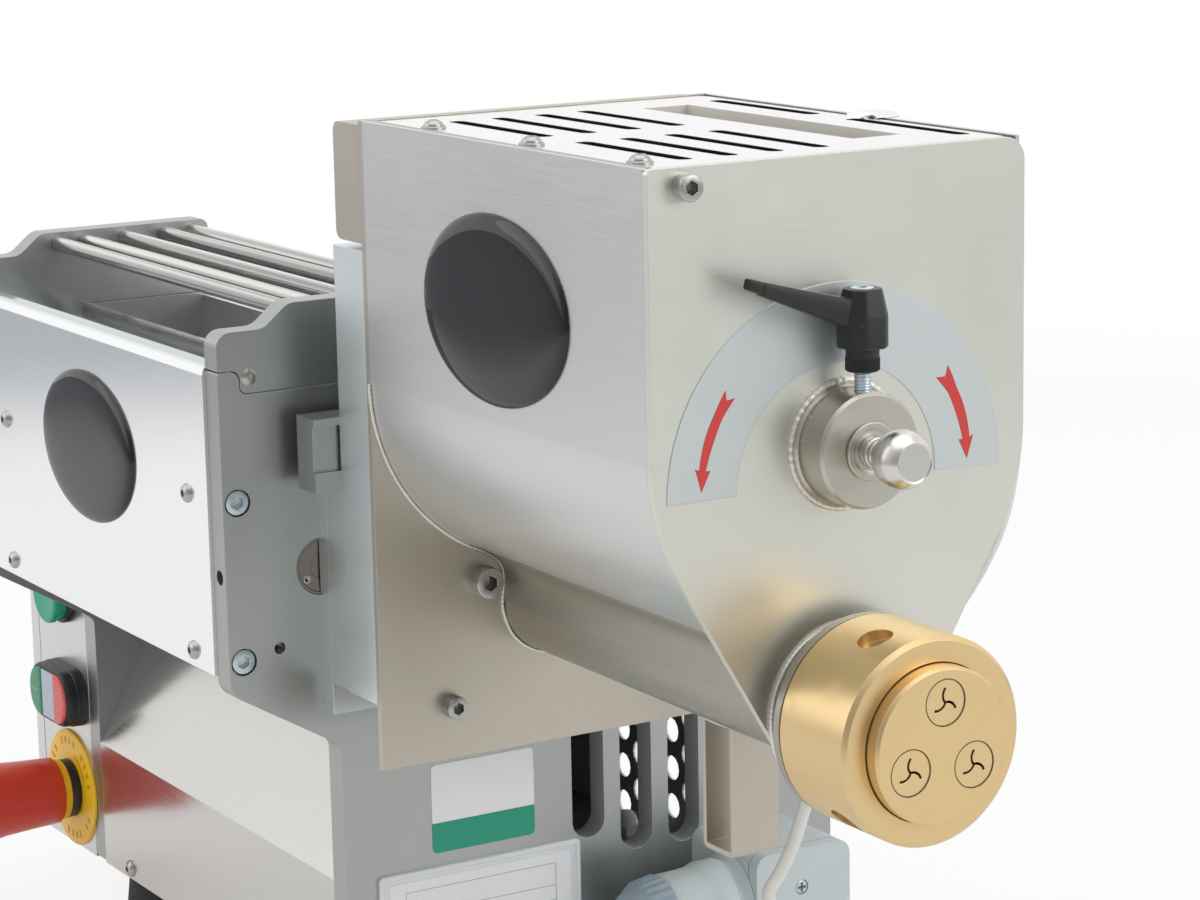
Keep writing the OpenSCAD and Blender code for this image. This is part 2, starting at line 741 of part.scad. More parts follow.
module auger_drive() {
    x0 = coupling_x + gap;
    depth = 12;
    color([0.6, 0.6, 0.62]) difference() {
        union() {
            bar_x(x0, case_x0 - 5, coupling_r, rear_axis);
            bar_x(case_x0 - 5, tank_x0, shaft_r, rear_axis);
            gear_x(drive_x0, drive_x1, auger_teeth, drive_m, 90, rear_axis);
        }
        block(x0 - lap, coupling_x + tongue_len + gap, -20, 20,
            auger_z - tongue_w / 2 - gap, auger_z + tongue_w / 2 + gap);
        block(tank_x0 - depth, tank_x0 + lap, -square / 2 - fit, square / 2 + fit,
            auger_z - square / 2 - fit, auger_z + square / 2 + fit);
    }
}

module paddle_shaft() {
    idler_phase = mesh_phase(auger_teeth, 90, idler_teeth, 90);
    phase = mesh_phase(idler_teeth, idler_phase, paddle_teeth, 90);
    color([0.6, 0.6, 0.62]) union() {
        gear_x(drive_x0, drive_x1, paddle_teeth, drive_m, phase, [0, paddle_z]);
        bar_x(case_x0 + 1 + gap, tank_x0 + 1, shaft_r, [0, paddle_z]);
        intersection() {
            bar_x(tank_x0 + 1, tank_x0 + 12, shaft_r, [0, paddle_z]);
            block(tank_x0, tank_x0 + 20, -20, 20, paddle_z - tongue_w / 2, paddle_z + tongue_w / 2);
        }
    }
}

// ---- tank, barrel and what turns in them ----
module tank_2d(r) {
    translate([0, paddle_z]) circle(r = r, $fn = 96);
    translate([-r, paddle_z]) square([2 * r, tank_top - paddle_z]);
}

module tank_shell() {
    color([0.62, 0.62, 0.61]) difference() {
        union() {
            along_x(tank_x0, tank_x1) difference() {
                tank_2d(bowl_r);
                tank_2d(bowl_r - tank_t);
                translate([-bowl_r, tank_top]) square([2 * bowl_r, bowl_r]);
                translate([-bowl_r + tank_t, tank_top - 1]) square([2 * (bowl_r - tank_t), bowl_r]);
            }
            intersection() {
                bar_x(tank_x0, tank_x1, bore_r + saddle_t, rear_axis);
                bar_x(tank_x0, tank_x1, bowl_r - tank_t / 2, [0, paddle_z], 96);
            }
        }
        bar_x(tank_x0 - lap, tank_x1 + lap, bore_r, rear_axis);
        block(feed_x0, feed_x1, -feed_y, feed_y, auger_z, auger_z + 30);
    }
}

module barrel() {
    color([0.64, 0.64, 0.63]) difference() {
        union() {
            bar_x(tank_x0, face_x + nose_len, barrel_r, rear_axis);
            bar_x(face_x, face_x + nose_len, nose_r, rear_axis);
            bar_x(face_x + 9, face_x + 12.2, ring_r, rear_axis);
        }
        bar_x(tank_x0 - lap, face_x + nose_len + lap, bore_r, rear_axis);
        bar_x(tank_x0 - lap, tank_x1, bowl_r + weld, [0, paddle_z]);
    }
}

// the front plate: straight sides, a bowl arc and a taper down to the barrel
module front_plate_2d() {
    foot_arc = 29.2;
    centre = [0, paddle_z - 0.9];
    low = [0, auger_z];
    cut = acos((bowl_r - foot_arc) / (centre[1] - low[1]));
    steps = 12;
    polygon(concat(
        [for (i = [0:steps]) centre + bowl_r * dir((cut - 90) * i / steps)],
        [for (i = [0:steps]) low + foot_arc * dir(cut - 90 - 2 * cut * i / steps)],
        [for (i = [0:steps]) centre + bowl_r * dir(-90 - cut - (90 - cut) * i / steps)],
        corner([-bowl_r, centre[1]], [-bowl_r, tank_top], [bowl_r, tank_top], 2),
        corner([-bowl_r, tank_top], [bowl_r, tank_top], [bowl_r, centre[1]], 8)));
}

module front_plate() {
    color([0.66, 0.64, 0.6]) along_x(tank_x1, face_x) difference() {
        front_plate_2d();
        translate(rear_axis) circle(r = barrel_r + weld, $fn = 48);
        translate([0, paddle_z]) circle(r = bush_out + weld, $fn = 32);
        translate([-bowl_r + 13.8, tank_top - 6.6]) circle(r = 2.5 + weld, $fn = 24);
    }
}

module boss() {
    color([0.66, 0.65, 0.62]) difference() {
        union() {
            bar_x(face_x, face_x + boss_len - 1, boss_r, [0, paddle_z]);
            cone_x(face_x + boss_len - 1, face_x + boss_len, boss_r, boss_r - 1, [0, paddle_z]);
            cone_x(face_x, face_x + 2, boss_r + 2, boss_r, [0, paddle_z]);
        }
        bar_x(face_x - lap, face_x + boss_len + lap, bush_out + weld, [0, paddle_z]);
        bar_z(paddle_z, paddle_z + boss_r + lap, stud_r + fit, [stud_x, 0]);
    }
}

module boss_bush() {
    color([0.7, 0.68, 0.64]) difference() {
        union() {
            bar_x(tank_x1, face_x + boss_len, bush_out, [0, paddle_z]);
            bar_x(face_x + boss_len, face_x + boss_len + 1.3, 10, [0, paddle_z]);
        }
        bar_x(tank_x1 - lap, face_x + boss_len + 3, pin_r + fit, [0, paddle_z]);
        bar_z(paddle_z, paddle_z + boss_r, stud_r + fit, [stud_x, 0]);
    }
}

module retaining_pin() {
    tip = tank_x1 - 13.5;
    ball_x = face_x + 33.4;
    ball_r = 10.2;
    face = 7;
    color([0.75, 0.75, 0.76]) union() {
        bar_x(tip + 2, ball_x, pin_r, [0, paddle_z]);
        cone_x(tip, tip + 2, pin_r - 1.5, pin_r, [0, paddle_z]);
        cone_x(ball_x - ball_r - 3, ball_x - ball_r + 1, pin_r, pin_r + 1.6, [0, paddle_z]);
        translate([ball_x, 0, paddle_z]) rotate([0, 90, 0]) rotate_extrude($fn = 48)
            polygon(concat([[0, -ball_r]], [for (a = [-80:10:43]) ball_r * dir(a)],
                [[sqrt(pow(ball_r, 2) - pow(face, 2)), face], [0, face]]));
    }
}

module lever_stud() {
    color([0.7, 0.73, 0.76]) bar_z(paddle_z + pin_r + fit, lever_z + 6, stud_r, [stud_x, 0]);
}

module clamp_lever() {
    hub_z = lever_z + 0.5;
    arm = 46;
    root_z = hub_z + 14.5;
    tip_z = hub_z + 25;
    color([0.05, 0.05, 0.05]) difference() {
        union() {
            bar_z(lever_z - 7.5, hub_z, 5.9, [stud_x, 0]);
            translate([stud_x, 0, hub_z]) rotate_extrude($fn = 48)
                polygon([[0, 0], [8.5, 0], [8.5, 12.2], [6.9, 20.5], [6, 21.2], [0, 21.2]]);
            hull() {
                translate([stud_x - 3.6, -5, root_z - 5.4]) cube([7.2, 1, 10.6]);
                translate([stud_x - 2.4, -arm + 2, tip_z - 2.5]) cube([4.8, 1, 5]);
                translate([stud_x - 1.6, -arm, tip_z - 1.2]) cube([3.2, 1, 3.2]);
            }
        }
        bar_z(lever_z - 8, lever_z + 6 + gap, stud_r + weld, [stud_x, 0]);
    }
}

module mixing_paddle() {
    hub_x0 = tank_x0 + 1 + gap;
    hub_x1 = tank_x1 - 6;
    hub = 11;
    reach = min(bowl_r - tank_t - 3.5, paddle_z - auger_z - auger_r - 4.2);
    arms = 5;
    step = (hub_x1 - hub_x0 - 36) / (arms - 1);
    color([0.72, 0.72, 0.73]) difference() {
        union() {
            bar_x(hub_x0, hub_x1, hub, [0, paddle_z]);
            for (i = [0:arms - 1]) translate([hub_x0 + 18 + i * step, 0, paddle_z])
                rotate([i * 144 + 36, 0, 0]) {
                    cylinder(h = reach - 6, r = 5, $fn = 32);
                    translate([0, 0, reach - 9]) rotate([0, 0, 35]) cube([26, 5, 18], center = true);
                }
        }
        intersection() {
            bar_x(hub_x0 - lap, tank_x0 + 12 + gap, shaft_r + gap, [0, paddle_z]);
            block(tank_x0 - lap, tank_x0 + 20, -20, 20, paddle_z - tongue_w / 2 - gap, paddle_z + tongue_w / 2 + gap);
        }
        bar_x(tank_x1 - 14, hub_x1 + lap, pin_r + fit, [0, paddle_z]);
    }
}

// the auger is one closed skin: square tail, sealing disc, then the helical flight
function auger_ring(x, angles, r, phase) =
    [for (k = [0:len(angles) - 1]) [x, r[k] * cos(angles[k] + phase), auger_z + r[k] * sin(angles[k] + phase)]];

module auger() {
    root = 8;
    per_turn = 12;
    tail_angles = [-45, -15, 15, 45, 75, 105, 135, 165, 195, 225, 270];
    tail = [for (a = tail_angles) square / 2 / max(abs(cos(a)), abs(sin(a)))];
    angles = [-32, -11, 11, 32, 46, 91, 135, 180, 225, 269, 314];
    disc = [for (a = angles) auger_r];
    flight = [for (k = [0:len(angles) - 1]) k < 4 ? auger_r : root];
    n = len(angles);
    first = tank_x0 + 3.4;
    rings = floor((auger_end - first) / auger_pitch * per_turn);
    points = concat(
        auger_ring(tank_x0 - 12 + gap, tail_angles, tail, 0),
        auger_ring(tank_x0 + gap, tail_angles, tail, 0),
        auger_ring(tank_x0 + gap, angles, disc, 0),
        auger_ring(tank_x0 + 3, angles, disc, 0),
        [for (i = [0:rings]) each auger_ring(first + i * auger_pitch / per_turn, angles, flight,
            i * 360 / per_turn)]);
    last = len(points) - n;
    walls = [for (i = [0:len(points) / n - 2]) for (k = [0:n - 1])
        let (a = i * n + k, b = i * n + (k + 1) % n)
        for (t = [[a, a + n, b + n], [a, b + n, b]]) t];
    color([0.74, 0.74, 0.75]) polyhedron(points,
        concat(walls, [[for (k = [0:n - 1]) k], [for (k = [n - 1:-1:0]) last + k]]));
}

// ---- die ----
module die_ring_nut() {
    hole_r = 6.2;
    color([0.82, 0.67, 0.4]) difference() {
        union() {
            bar_x(nut_x0 + 1, nut_x1 - 1.5, nut_r, rear_axis);
            cone_x(nut_x0, nut_x0 + 1, nut_r - 1, nut_r, rear_axis);
            cone_x(nut_x1 - 1.5, nut_x1, nut_r, nut_r - 1.5, rear_axis);
        }
        bar_x(nut_x0 - lap, nut_x1 - nut_lip, nose_r + 0.8, rear_axis);
        bar_x(nut_x0, nut_x1 + lap, die_r + 0.4, rear_axis);
        for (a = [109, 229, 349]) translate([face_x + 34, 0, auger_z]) rotate([a - 90, 0, 0])
            translate([0, 0, nose_r + 2]) cylinder(h = 20, r = hole_r, $fn = 32);
    }
}

module die_disc() {
    x0 = face_x + nose_len + gap;
    x1 = nut_x1 - nut_lip;
    color([0.85, 0.71, 0.44]) difference() {
        union() {
            bar_x(x0, x1, nose_r + 0.4, rear_axis);
            bar_x(x1, nut_x1 + 5, die_r, rear_axis);
            cone_x(nut_x1 + 5, nut_x1 + 6, die_r, die_r - 1, rear_axis);
        }
        for (i = [0:2]) bar_x(x0 - lap, nut_x1 + 7, insert_r + weld,
            rear_axis + insert_at * dir(insert_turn + i * 120));
        bar_x(x0 - lap, x0 + 4, 24, rear_axis);
    }
}

module slit_2d(chord, bend, width) {
    spread = asin(chord / (2 * bend));
    translate([chord / 2, -bend * cos(spread)]) intersection() {
        difference() {
            circle(r = bend + width / 2, $fn = 32);
            circle(r = bend - width / 2, $fn = 32);
        }
        polygon([[0, 0], 3 * bend * dir(90 - spread), 4 * bend * dir(90), 3 * bend * dir(90 + spread)]);
    }
}

module die_inserts() {
    x0 = face_x + nose_len + gap + 4;
    x1 = nut_x1 + 5.8;
    slit = [5, 3.6, 0.9];
    color([0.84, 0.7, 0.42]) for (i = [0:2]) {
        at = rear_axis + insert_at * dir(insert_turn + i * 120);
        difference() {
            bar_x(x0, x1, insert_r, at);
            bar_x(x0 - lap, x1 - 3, 5.8, at, 32);
            translate([0, at[0], at[1]]) along_x(x1 - 4, x1 + lap)
                for (a = [88, 208, 328]) rotate(a) slit_2d(slit[0], slit[1], slit[2]);
        }
    }
}

// ---- lid ----
module mouth_2d(out) {
    translate([mouth_x[0] - out, mouth_y[0] - out])
        square([mouth_x[1] - mouth_x[0] + 2 * out, mouth_y[1] - mouth_y[0] + 2 * out]);
}

module lid() {
    slot_x = [tank_x0 + 20 + slot_len / 2, tank_x1 - 16 - slot_len / 2];
    rows = [-48.6, -30.6, -12.1, 6.4, 65.9];
    color([0.8, 0.8, 0.8]) union() {
        translate([0, 0, lid_z0]) linear_extrude(lid_t) difference() {
            polygon(rounded([[tank_x0 + 1.5, lid_front, 1], [tank_x1 - 1.5, lid_front, 1],
                [tank_x1 - 1.5, lid_edge, 4], [tank_x0 + 1.5, lid_edge, 4]]));
            for (x = slot_x) for (y = rows) translate([x, y]) slot_2d(slot_len, slot_w);
            mouth_2d(0);
            for (x = screw_x) translate([x, screw_y]) circle(r = 2.5 + weld, $fn = 24);
        }
        translate([0, 0, lid_z0 - rim_deep]) linear_extrude(rim_deep) difference() {
            mouth_2d(1.2);
            mouth_2d(0);
        }
    }
}

module knuckle_row(first) {
    length = tank_len - 3;
    part = length / knuckles;
    for (i = [first:2:knuckles - 1]) difference() {
        union() {
            bar_x(tank_x0 + 1.5 + i * part + 0.15, tank_x0 + 1.5 + (i + 1) * part - 0.15, knuckle_r,
                [lid_pin_y, lid_pin_z], 24);
            translate([tank_x0 + 1.5 + i * part + 0.15, 0, 0]) children();
        }
        bar_x(tank_x0, tank_x1, 0.8 + fit, [lid_pin_y, lid_pin_z], 24);
    }
}

module lid_fittings() {
    part = (tank_len - 3) / knuckles - 0.3;
    leaf_top = lid_z0;
    color([0.72, 0.72, 0.72]) {
        difference() {
            union() {
                block(tank_x0 + 1.6, tank_x1 - 1.6, lid_pin_y + 2.6, lid_pin_y + 12, leaf_top - 1, leaf_top);
                knuckle_row(1) block(0, part, lid_pin_y + 0.9, lid_pin_y + 2.8, leaf_top - 1, leaf_top - 0.1);
            }
            for (x = screw_x) bar_z(leaf_top - 2, leaf_top + lap, 2.5 + weld, [x, screw_y]);
        }
        for (x = screw_x) {
            bar_z(lid_z1, lid_z1 + 1, 4.6, [x, screw_y]);
            bar_z(leaf_top - 2.5, lid_z1 + 1, 2.5, [x, screw_y]);
            bar_z(leaf_top - 4.5, leaf_top - 1 - weld, 3, [x, screw_y]);
            difference() {
                translate([x, screw_y, lid_z1 + 1]) cylinder(h = 2.2, r1 = 3.7, r2 = 2.5, $fn = 32);
                translate([x, screw_y, lid_z1 + 1.8]) cylinder(h = 3, r = 1.5, $fn = 6);
            }
        }
    }
    color([0.5, 0.42, 0.32]) {
        block(tank_x0 + 104, tank_x0 + 120, 69, 72, lid_z1, tank_top + 0.3);
        block(tank_x0 + 104, tank_x0 + 120, 69, bowl_r + 5.5, tank_top + 0.3, tank_top + 1.9);
    }
}

module lid_hinge() {
    part = (tank_len - 3) / knuckles - 0.3;
    wall = -bowl_r + tank_t;
    leaf_low = lid_pin_z - 13;
    color([0.6, 0.6, 0.6]) {
        union() {
            knuckle_row(0) block(0, part, lid_pin_y - 0.5, lid_pin_y + 0.5, lid_pin_z - 4, lid_pin_z - 0.9);
            block(tank_x0 + 1.6, tank_x1 - 1.6, lid_pin_y - 0.5, lid_pin_y + 0.5, leaf_low, lid_pin_z - 3);
            block(tank_x0 + 1.6, tank_x1 - 1.6, wall, lid_pin_y - 0.4, leaf_low, lid_pin_z - 5.5);
        }
        bar_x(tank_x0 + 1.5, tank_x1 - 1.5, 0.8, [lid_pin_y, lid_pin_z], 24);
    }
}

module lid_switch() {
    color([0.88, 0.88, 0.86]) difference() {
        block(tank_x0 + 100, tank_x0 + 124, bowl_r, bowl_r + 9.7, tank_top - 24, tank_top - 2);
        bar_z(tank_top - 25, tank_top - 19, cable_r + weld, [tank_x0 + 112, bowl_r + 4.9]);
    }
}

// ---- trim, bracket, wiring ----
module dome(w, h, t) {
    band = 3;
    scale([1, h / w, 1]) rotate_extrude($fn = 48)
        polygon([[0, 0], [w / 2, 0], [w / 2, t * 0.4], [w / 2 - band, t * 0.8], [0, t]]);
}

module badges() {
    color([0.05, 0.05, 0.06]) {
        translate([tank_x0 + 97.6, -bowl_r, (paddle_z + tank_top) / 2 - 9.2]) rotate([90, 0, 0]) dome(102, 68.5, 3);
        translate([left_in + 123, head_y - sheet_t, tie_z[1] + 3.1]) rotate([90, 0, 0]) dome(95, 64, 3);
    }
}

module bracket_tube() {
    side = 20;
    x0 = tank_x1 - 74.8;
    low = 129.5;
    wall = 2;
    color([0.75, 0.75, 0.74]) difference() {
        along_y(-8.7, -8.7 + side) polygon(rounded([[x0, low, 2.5], [x0 + side, low, 2.5],
            [x0 + side, auger_z - barrel_r + 3.5, 0], [x0, auger_z - barrel_r + 3.5, 0]]));
        block(x0 + wall, x0 + side - wall, -12, side, low + wall, auger_z);
        bar_x(x0 - lap, x0 + side + lap, barrel_r + weld, rear_axis);
    }
}

module junction_box() {
    color([0.72, 0.76, 0.8]) difference() {
        along_x(0, 50) polygon(rounded([[95.4, 17, 6], [142.4, 17, 6], [142.4, 72, 6], [95.4, 72, 6]]));
        difference() {
            block(43.4, 44.2, 90, 150, 10, 80);
            along_x(40, 50) polygon(rounded([[96.4, 18, 5], [141.4, 18, 5], [141.4, 71, 5], [96.4, 71, 5]]));
        }
        bar_x(46, 51, cable_r + weld, [110, 27], 24);
        for (z = [34, 55]) bar_x(48.5, 51, 3.2, [118, z], 24);
    }
}

module cable_plug() {
    at = [28, 47];
    color([0.74, 0.78, 0.82]) union() {
        bar_y(62, 95.4, 18, at);
        bar_y(82, 90, 19.5, at);
        translate([at[0], 44, at[1]]) rotate([-90, 0, 0]) cylinder(h = 18, r1 = 12, r2 = 18, $fn = 48);
    }
    color([0.72, 0.76, 0.8]) block(0, 46, 70, 80, 20, at[1] - 17.5);
}

// a tube of eight sides through the points of a route
function way(route, i) = unit(route[min(i + 1, len(route) - 1)] - route[max(i - 1, 0)]);
function ring(p, t, r) = let (
        side = unit(cross(t, [0.2, 1, 0.1])),
        up = cross(side, t))
    [for (k = [0:7]) p + r * (cos(k * 45) * side + sin(k * 45) * up)];

module switch_cable() {
    n = len(cable_route);
    points = [for (i = [0:n - 1]) each ring(cable_route[i], way(cable_route, i), cable_r)];
    walls = [for (i = [0:n - 2]) for (k = [0:7]) let (a = i * 8 + k, b = i * 8 + (k + 1) % 8)
        [a, b, b + 8, a + 8]];
    color([0.92, 0.92, 0.9]) polyhedron(points,
        concat(walls, [[for (k = [7:-1:0]) k], [for (k = [0:7]) (n - 1) * 8 + k]]));
}

function plate_screws() = [[-30.9, 208.5, 4], [-45.7, 160.3, 3]];
function panel_screw_x() = [left_in + 30.5, right_in - 18.5];
function chute_screw_x() = [left_in + 29.6, right_in - 29.6];

module socket_head(r) {
    difference() {
        cylinder(h = 1.05 * r * 1.15, r = r, $fn = 32);
        translate([0, 0, r * 0.6]) cylinder(h = r, r = r * 0.5, $fn = 6);
    }
}

module socket_screws() {
    color([0.7, 0.7, 0.7]) {
        for (s = plate_screws()) {
            translate([tank_x0, s[0], s[1]]) rotate([0, 90, 0]) socket_head(s[2] * 1.55);
            bar_x(case_x1, tank_x0, s[2], [s[0], s[1]], 24);
        }
        translate([face_x, -bowl_r + 13.8, tank_top - 6.6]) rotate([0, 90, 0]) socket_head(4.6);
        bar_x(tank_x1 - 4, face_x, 2.5, [-bowl_r + 13.8, tank_top - 6.6], 24);
        for (z = tie_z) {
            translate([-3.2, tie_y, z]) rotate([0, 90, 0]) socket_head(5);
            bar_x(right_in - 10, -3.2, 3, [tie_y, z], 24);
        }
    }
}

module button_screw_y() {
    rotate([90, 0, 0]) {
        cylinder(h = 2.2, r1 = 3.9, r2 = 2.6, $fn = 32);
        translate([0, 0, -screw_in]) cylinder(h = screw_in, r = 3 - fit, $fn = 24);
    }
}

module button_screws() {
    color([0.7, 0.7, 0.7]) {
        for (x = panel_screw_x()) for (z = tie_z) translate([x, head_y - sheet_t, z]) button_screw_y();
        for (x = chute_screw_x()) translate([x, leg_y, chute_screw_z]) button_screw_y();
    }
}

placed() right_side_plate();
placed() left_side_plate();
placed() side_cheeks();
placed() guard_bars();
placed() front_panel();
placed() rear_cover();
placed() chute();
placed() base_plate();
placed() feet();
placed() tie_rods();
placed() scrapers();
placed() front_roller();
placed() rear_roller();
placed() roller_bushes();
placed() eccentric_shaft();
placed() roller_sleeves();
placed() gap_knob();
placed() drive_pinion();
placed() gearbox();
placed() motor();
placed() control_box();
placed() button_bezels();
placed() green_button();
placed() start_button();
placed() stop_button();
placed() estop_base();
placed() estop_head();
placed() adapter_plate();
placed() spacer_plate();
placed() hook_block();
placed() gear_case();
placed() back_plate();
placed() interlock_box();
placed() tank_shell();
placed() barrel();
placed() front_plate();
placed() boss();
placed() boss_bush();
placed() retaining_pin();
placed() lever_stud();
placed() clamp_lever();
placed() paddle_shaft();
placed() mixing_paddle();
placed() idler_gear();
placed() auger_drive();
placed() auger();
placed() die_ring_nut();
placed() die_disc();
placed() die_inserts();
placed() lid();
placed() lid_fittings();
placed() lid_hinge();
placed() lid_switch();
placed() badges();
placed() bracket_tube();
placed() junction_box();
placed() cable_plug();
placed() switch_cable();
placed() socket_screws();
placed() button_screws();
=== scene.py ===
# Electric pasta maker: sheeting rollers with a kneading and extruding attachment.
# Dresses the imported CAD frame. Lengths in the dictionaries are millimetres in the
# working axes of the part's source; spot() turns them into metres in the frame.
import json
import math

import bmesh
import bpy
from mathutils import Matrix, Vector


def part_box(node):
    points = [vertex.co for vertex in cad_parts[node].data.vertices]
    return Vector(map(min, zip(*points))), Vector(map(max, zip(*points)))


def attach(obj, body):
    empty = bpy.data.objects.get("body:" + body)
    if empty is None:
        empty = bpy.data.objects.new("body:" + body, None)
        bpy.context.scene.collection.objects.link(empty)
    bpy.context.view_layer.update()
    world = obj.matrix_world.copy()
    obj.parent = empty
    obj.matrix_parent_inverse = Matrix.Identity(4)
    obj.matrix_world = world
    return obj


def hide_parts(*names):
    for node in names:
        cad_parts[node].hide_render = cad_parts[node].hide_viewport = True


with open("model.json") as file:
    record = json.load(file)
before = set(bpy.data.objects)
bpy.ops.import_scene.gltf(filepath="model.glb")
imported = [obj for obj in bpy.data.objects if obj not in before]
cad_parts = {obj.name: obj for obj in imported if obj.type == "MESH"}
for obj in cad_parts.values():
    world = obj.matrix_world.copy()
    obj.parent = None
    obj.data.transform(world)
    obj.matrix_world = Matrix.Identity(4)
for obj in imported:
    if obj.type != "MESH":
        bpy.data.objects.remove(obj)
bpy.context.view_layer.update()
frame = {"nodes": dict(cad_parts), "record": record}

mm = 0.001
bodies = frame["record"]["behaviour"]["bodies"]
homeOf = {node: body for body, nodes in bodies.items() for node in nodes}
slotOf = {row["node"]: row["material_slot"] for row in frame["record"]["subparts"]}
right, left, front, rear, upward = (1, 0, 0), (-1, 0, 0), (0, -1, 0), (0, 1, 0), (0, 0, 1)

# the working origin: outer face of the right plate, plane of the shafts, the table
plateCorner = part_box("right_side_plate")
plateReach = 116.6  # from the plate's front edge to the shafts
origin = Vector((plateCorner[1][0], plateCorner[0][1] + plateReach * mm, 0))
working = Matrix.Translation(origin) @ Matrix.Scale(mm, 4)


def spot(x, y, z):
    return origin + Vector((x, y, z)) * mm


# where a node's box begins (0) or ends (1) along an axis, in working millimetres
def edge(node, end, axis):
    k = "xyz".index(axis)
    return (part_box(node)[end][k] - origin[k]) / mm


def middle(node, axis):
    return (edge(node, 0, axis) + edge(node, 1, axis)) / 2


shaftZ = middle("rear_roller", "z")
bowlZ = middle("boss_bush", "z")
gapAxis = (-74.471, 210.542)  # y and z of the shaft that the thickness knob turns
backFace = edge("back_plate", 1, "x")
endFace = edge("front_plate", 1, "x")
panelFace = edge("front_panel", 0, "y")
lidFace = edge("lid", 1, "z")


camera = {"place": (1178.3, -652.5, 519.5), "azimuth": 59.067, "elevation": 11.439,
          "roll": -1.151, "lens": 102.32, "sensor": 36.0, "clip": (0.05, 60)}


def makeCamera(c):
    a, e, r = (math.radians(c[k]) for k in ("azimuth", "elevation", "roll"))
    back = Vector((math.sin(a) * math.cos(e), -math.cos(a) * math.cos(e), math.sin(e)))
    side = (-back).cross(Vector((0, 0, 1))).normalized()
    up = side.cross(-back)
    side, up = (math.cos(r) * side + math.sin(r) * up,
                math.cos(r) * up - math.sin(r) * side)
    data = bpy.data.cameras.new("camera")
    data.sensor_width, data.lens = c["sensor"], c["lens"]
    data.clip_start, data.clip_end = c["clip"]
    body = bpy.data.objects.new("camera", data)
    turn = Matrix((side, up, back)).transposed().to_4x4()
    body.matrix_world = Matrix.Translation(spot(*c["place"])) @ turn
    bpy.context.scene.collection.objects.link(body)
    bpy.context.scene.camera = body


makeCamera(camera)
print("camera placed")


class Wire:
    # a socket that takes part in sums
    def __init__(self, kit, socket):
        self.kit, self.socket = kit, socket

    def sum(self, operation, *terms):
        return self.kit.add("Math", {"operation": operation}, dict(enumerate(terms)))

    def __add__(self, other):
        return self.sum("ADD", self, other)

    def __radd__(self, other):
        return self.sum("ADD", other, self)

    def __sub__(self, other):
        return self.sum("SUBTRACT", self, other)

    def __rsub__(self, other):
        return self.sum("SUBTRACT", other, self)

    def __mul__(self, other):
        return self.sum("MULTIPLY", self, other)

    def __rmul__(self, other):
        return self.sum("MULTIPLY", other, self)


class Kit:
    # the node tree of one material, or of the world
    def __init__(self, tree):
        self.tree = tree

    def add(self, kind, settings=None, sockets=None, out=0):
        made = self.tree.nodes.new("ShaderNode" + kind)
        for key, value in (settings or {}).items():
            setattr(made, key, value)
        for key, value in (sockets or {}).items():
            self.plug(made.inputs[key], value)
        return Wire(self, made.outputs[out])

    def plug(self, socket, value):
        if isinstance(value, Wire):
            self.tree.links.new(value.socket, socket)
        elif socket.type == "RGBA":
            socket.default_value = (*value, 1)
        else:
            socket.default_value = value

    def mix(self, mask, first, second):
        return self.add("Mix", {"data_type": "RGBA"}, {0: mask, 6: first, 7: second}, out=2)

    def blend(self, mask, first, second):
        return self.add("Mix", {"data_type": "FLOAT"}, {0: mask, 2: first, 3: second})

    def vector(self, operation, *terms, out=0):
        return self.add("VectorMath", {"operation": operation}, dict(enumerate(terms)), out)

    def scaled(self, colour, gain):
        return self.add("VectorMath", {"operation": "SCALE"}, {0: colour, "Scale": gain})

    def ramp(self, value, low, high, start=0.0, end=1.0):
        return self.add("MapRange", {"interpolation_type": "SMOOTHSTEP"},
                        {0: value, 1: low, 2: high, 3: start, 4: end})

    def place(self):
        return self.add("TexCoord", out="Object")

    def part(self, vector, axis):
        return self.add("SeparateXYZ", None, {0: vector}, out="xyz".index(axis))

    def cloud(self, vector, scale, detail=3, rough=0.55, warp=0.0):
        return self.add("TexNoise", None, {"Vector": vector, "Scale": scale, "Detail": detail,
                                           "Roughness": rough, "Distortion": warp})


def newFinish(name):
    made = bpy.data.materials.new(name)
    made.use_nodes = True
    kit = Kit(made.node_tree)
    return made, kit, made.node_tree.nodes["Principled BSDF"]


def edgeMask(kit, radius):
    soft = kit.add("Bevel", {"samples": 4}, {"Radius": radius})
    hard = kit.add("NewGeometry", out=1)
    bend = kit.vector("DOT_PRODUCT", soft, hard, out=1)
    return soft, kit.ramp(bend, 0.995, 0.8)


metalSheen = 0.94


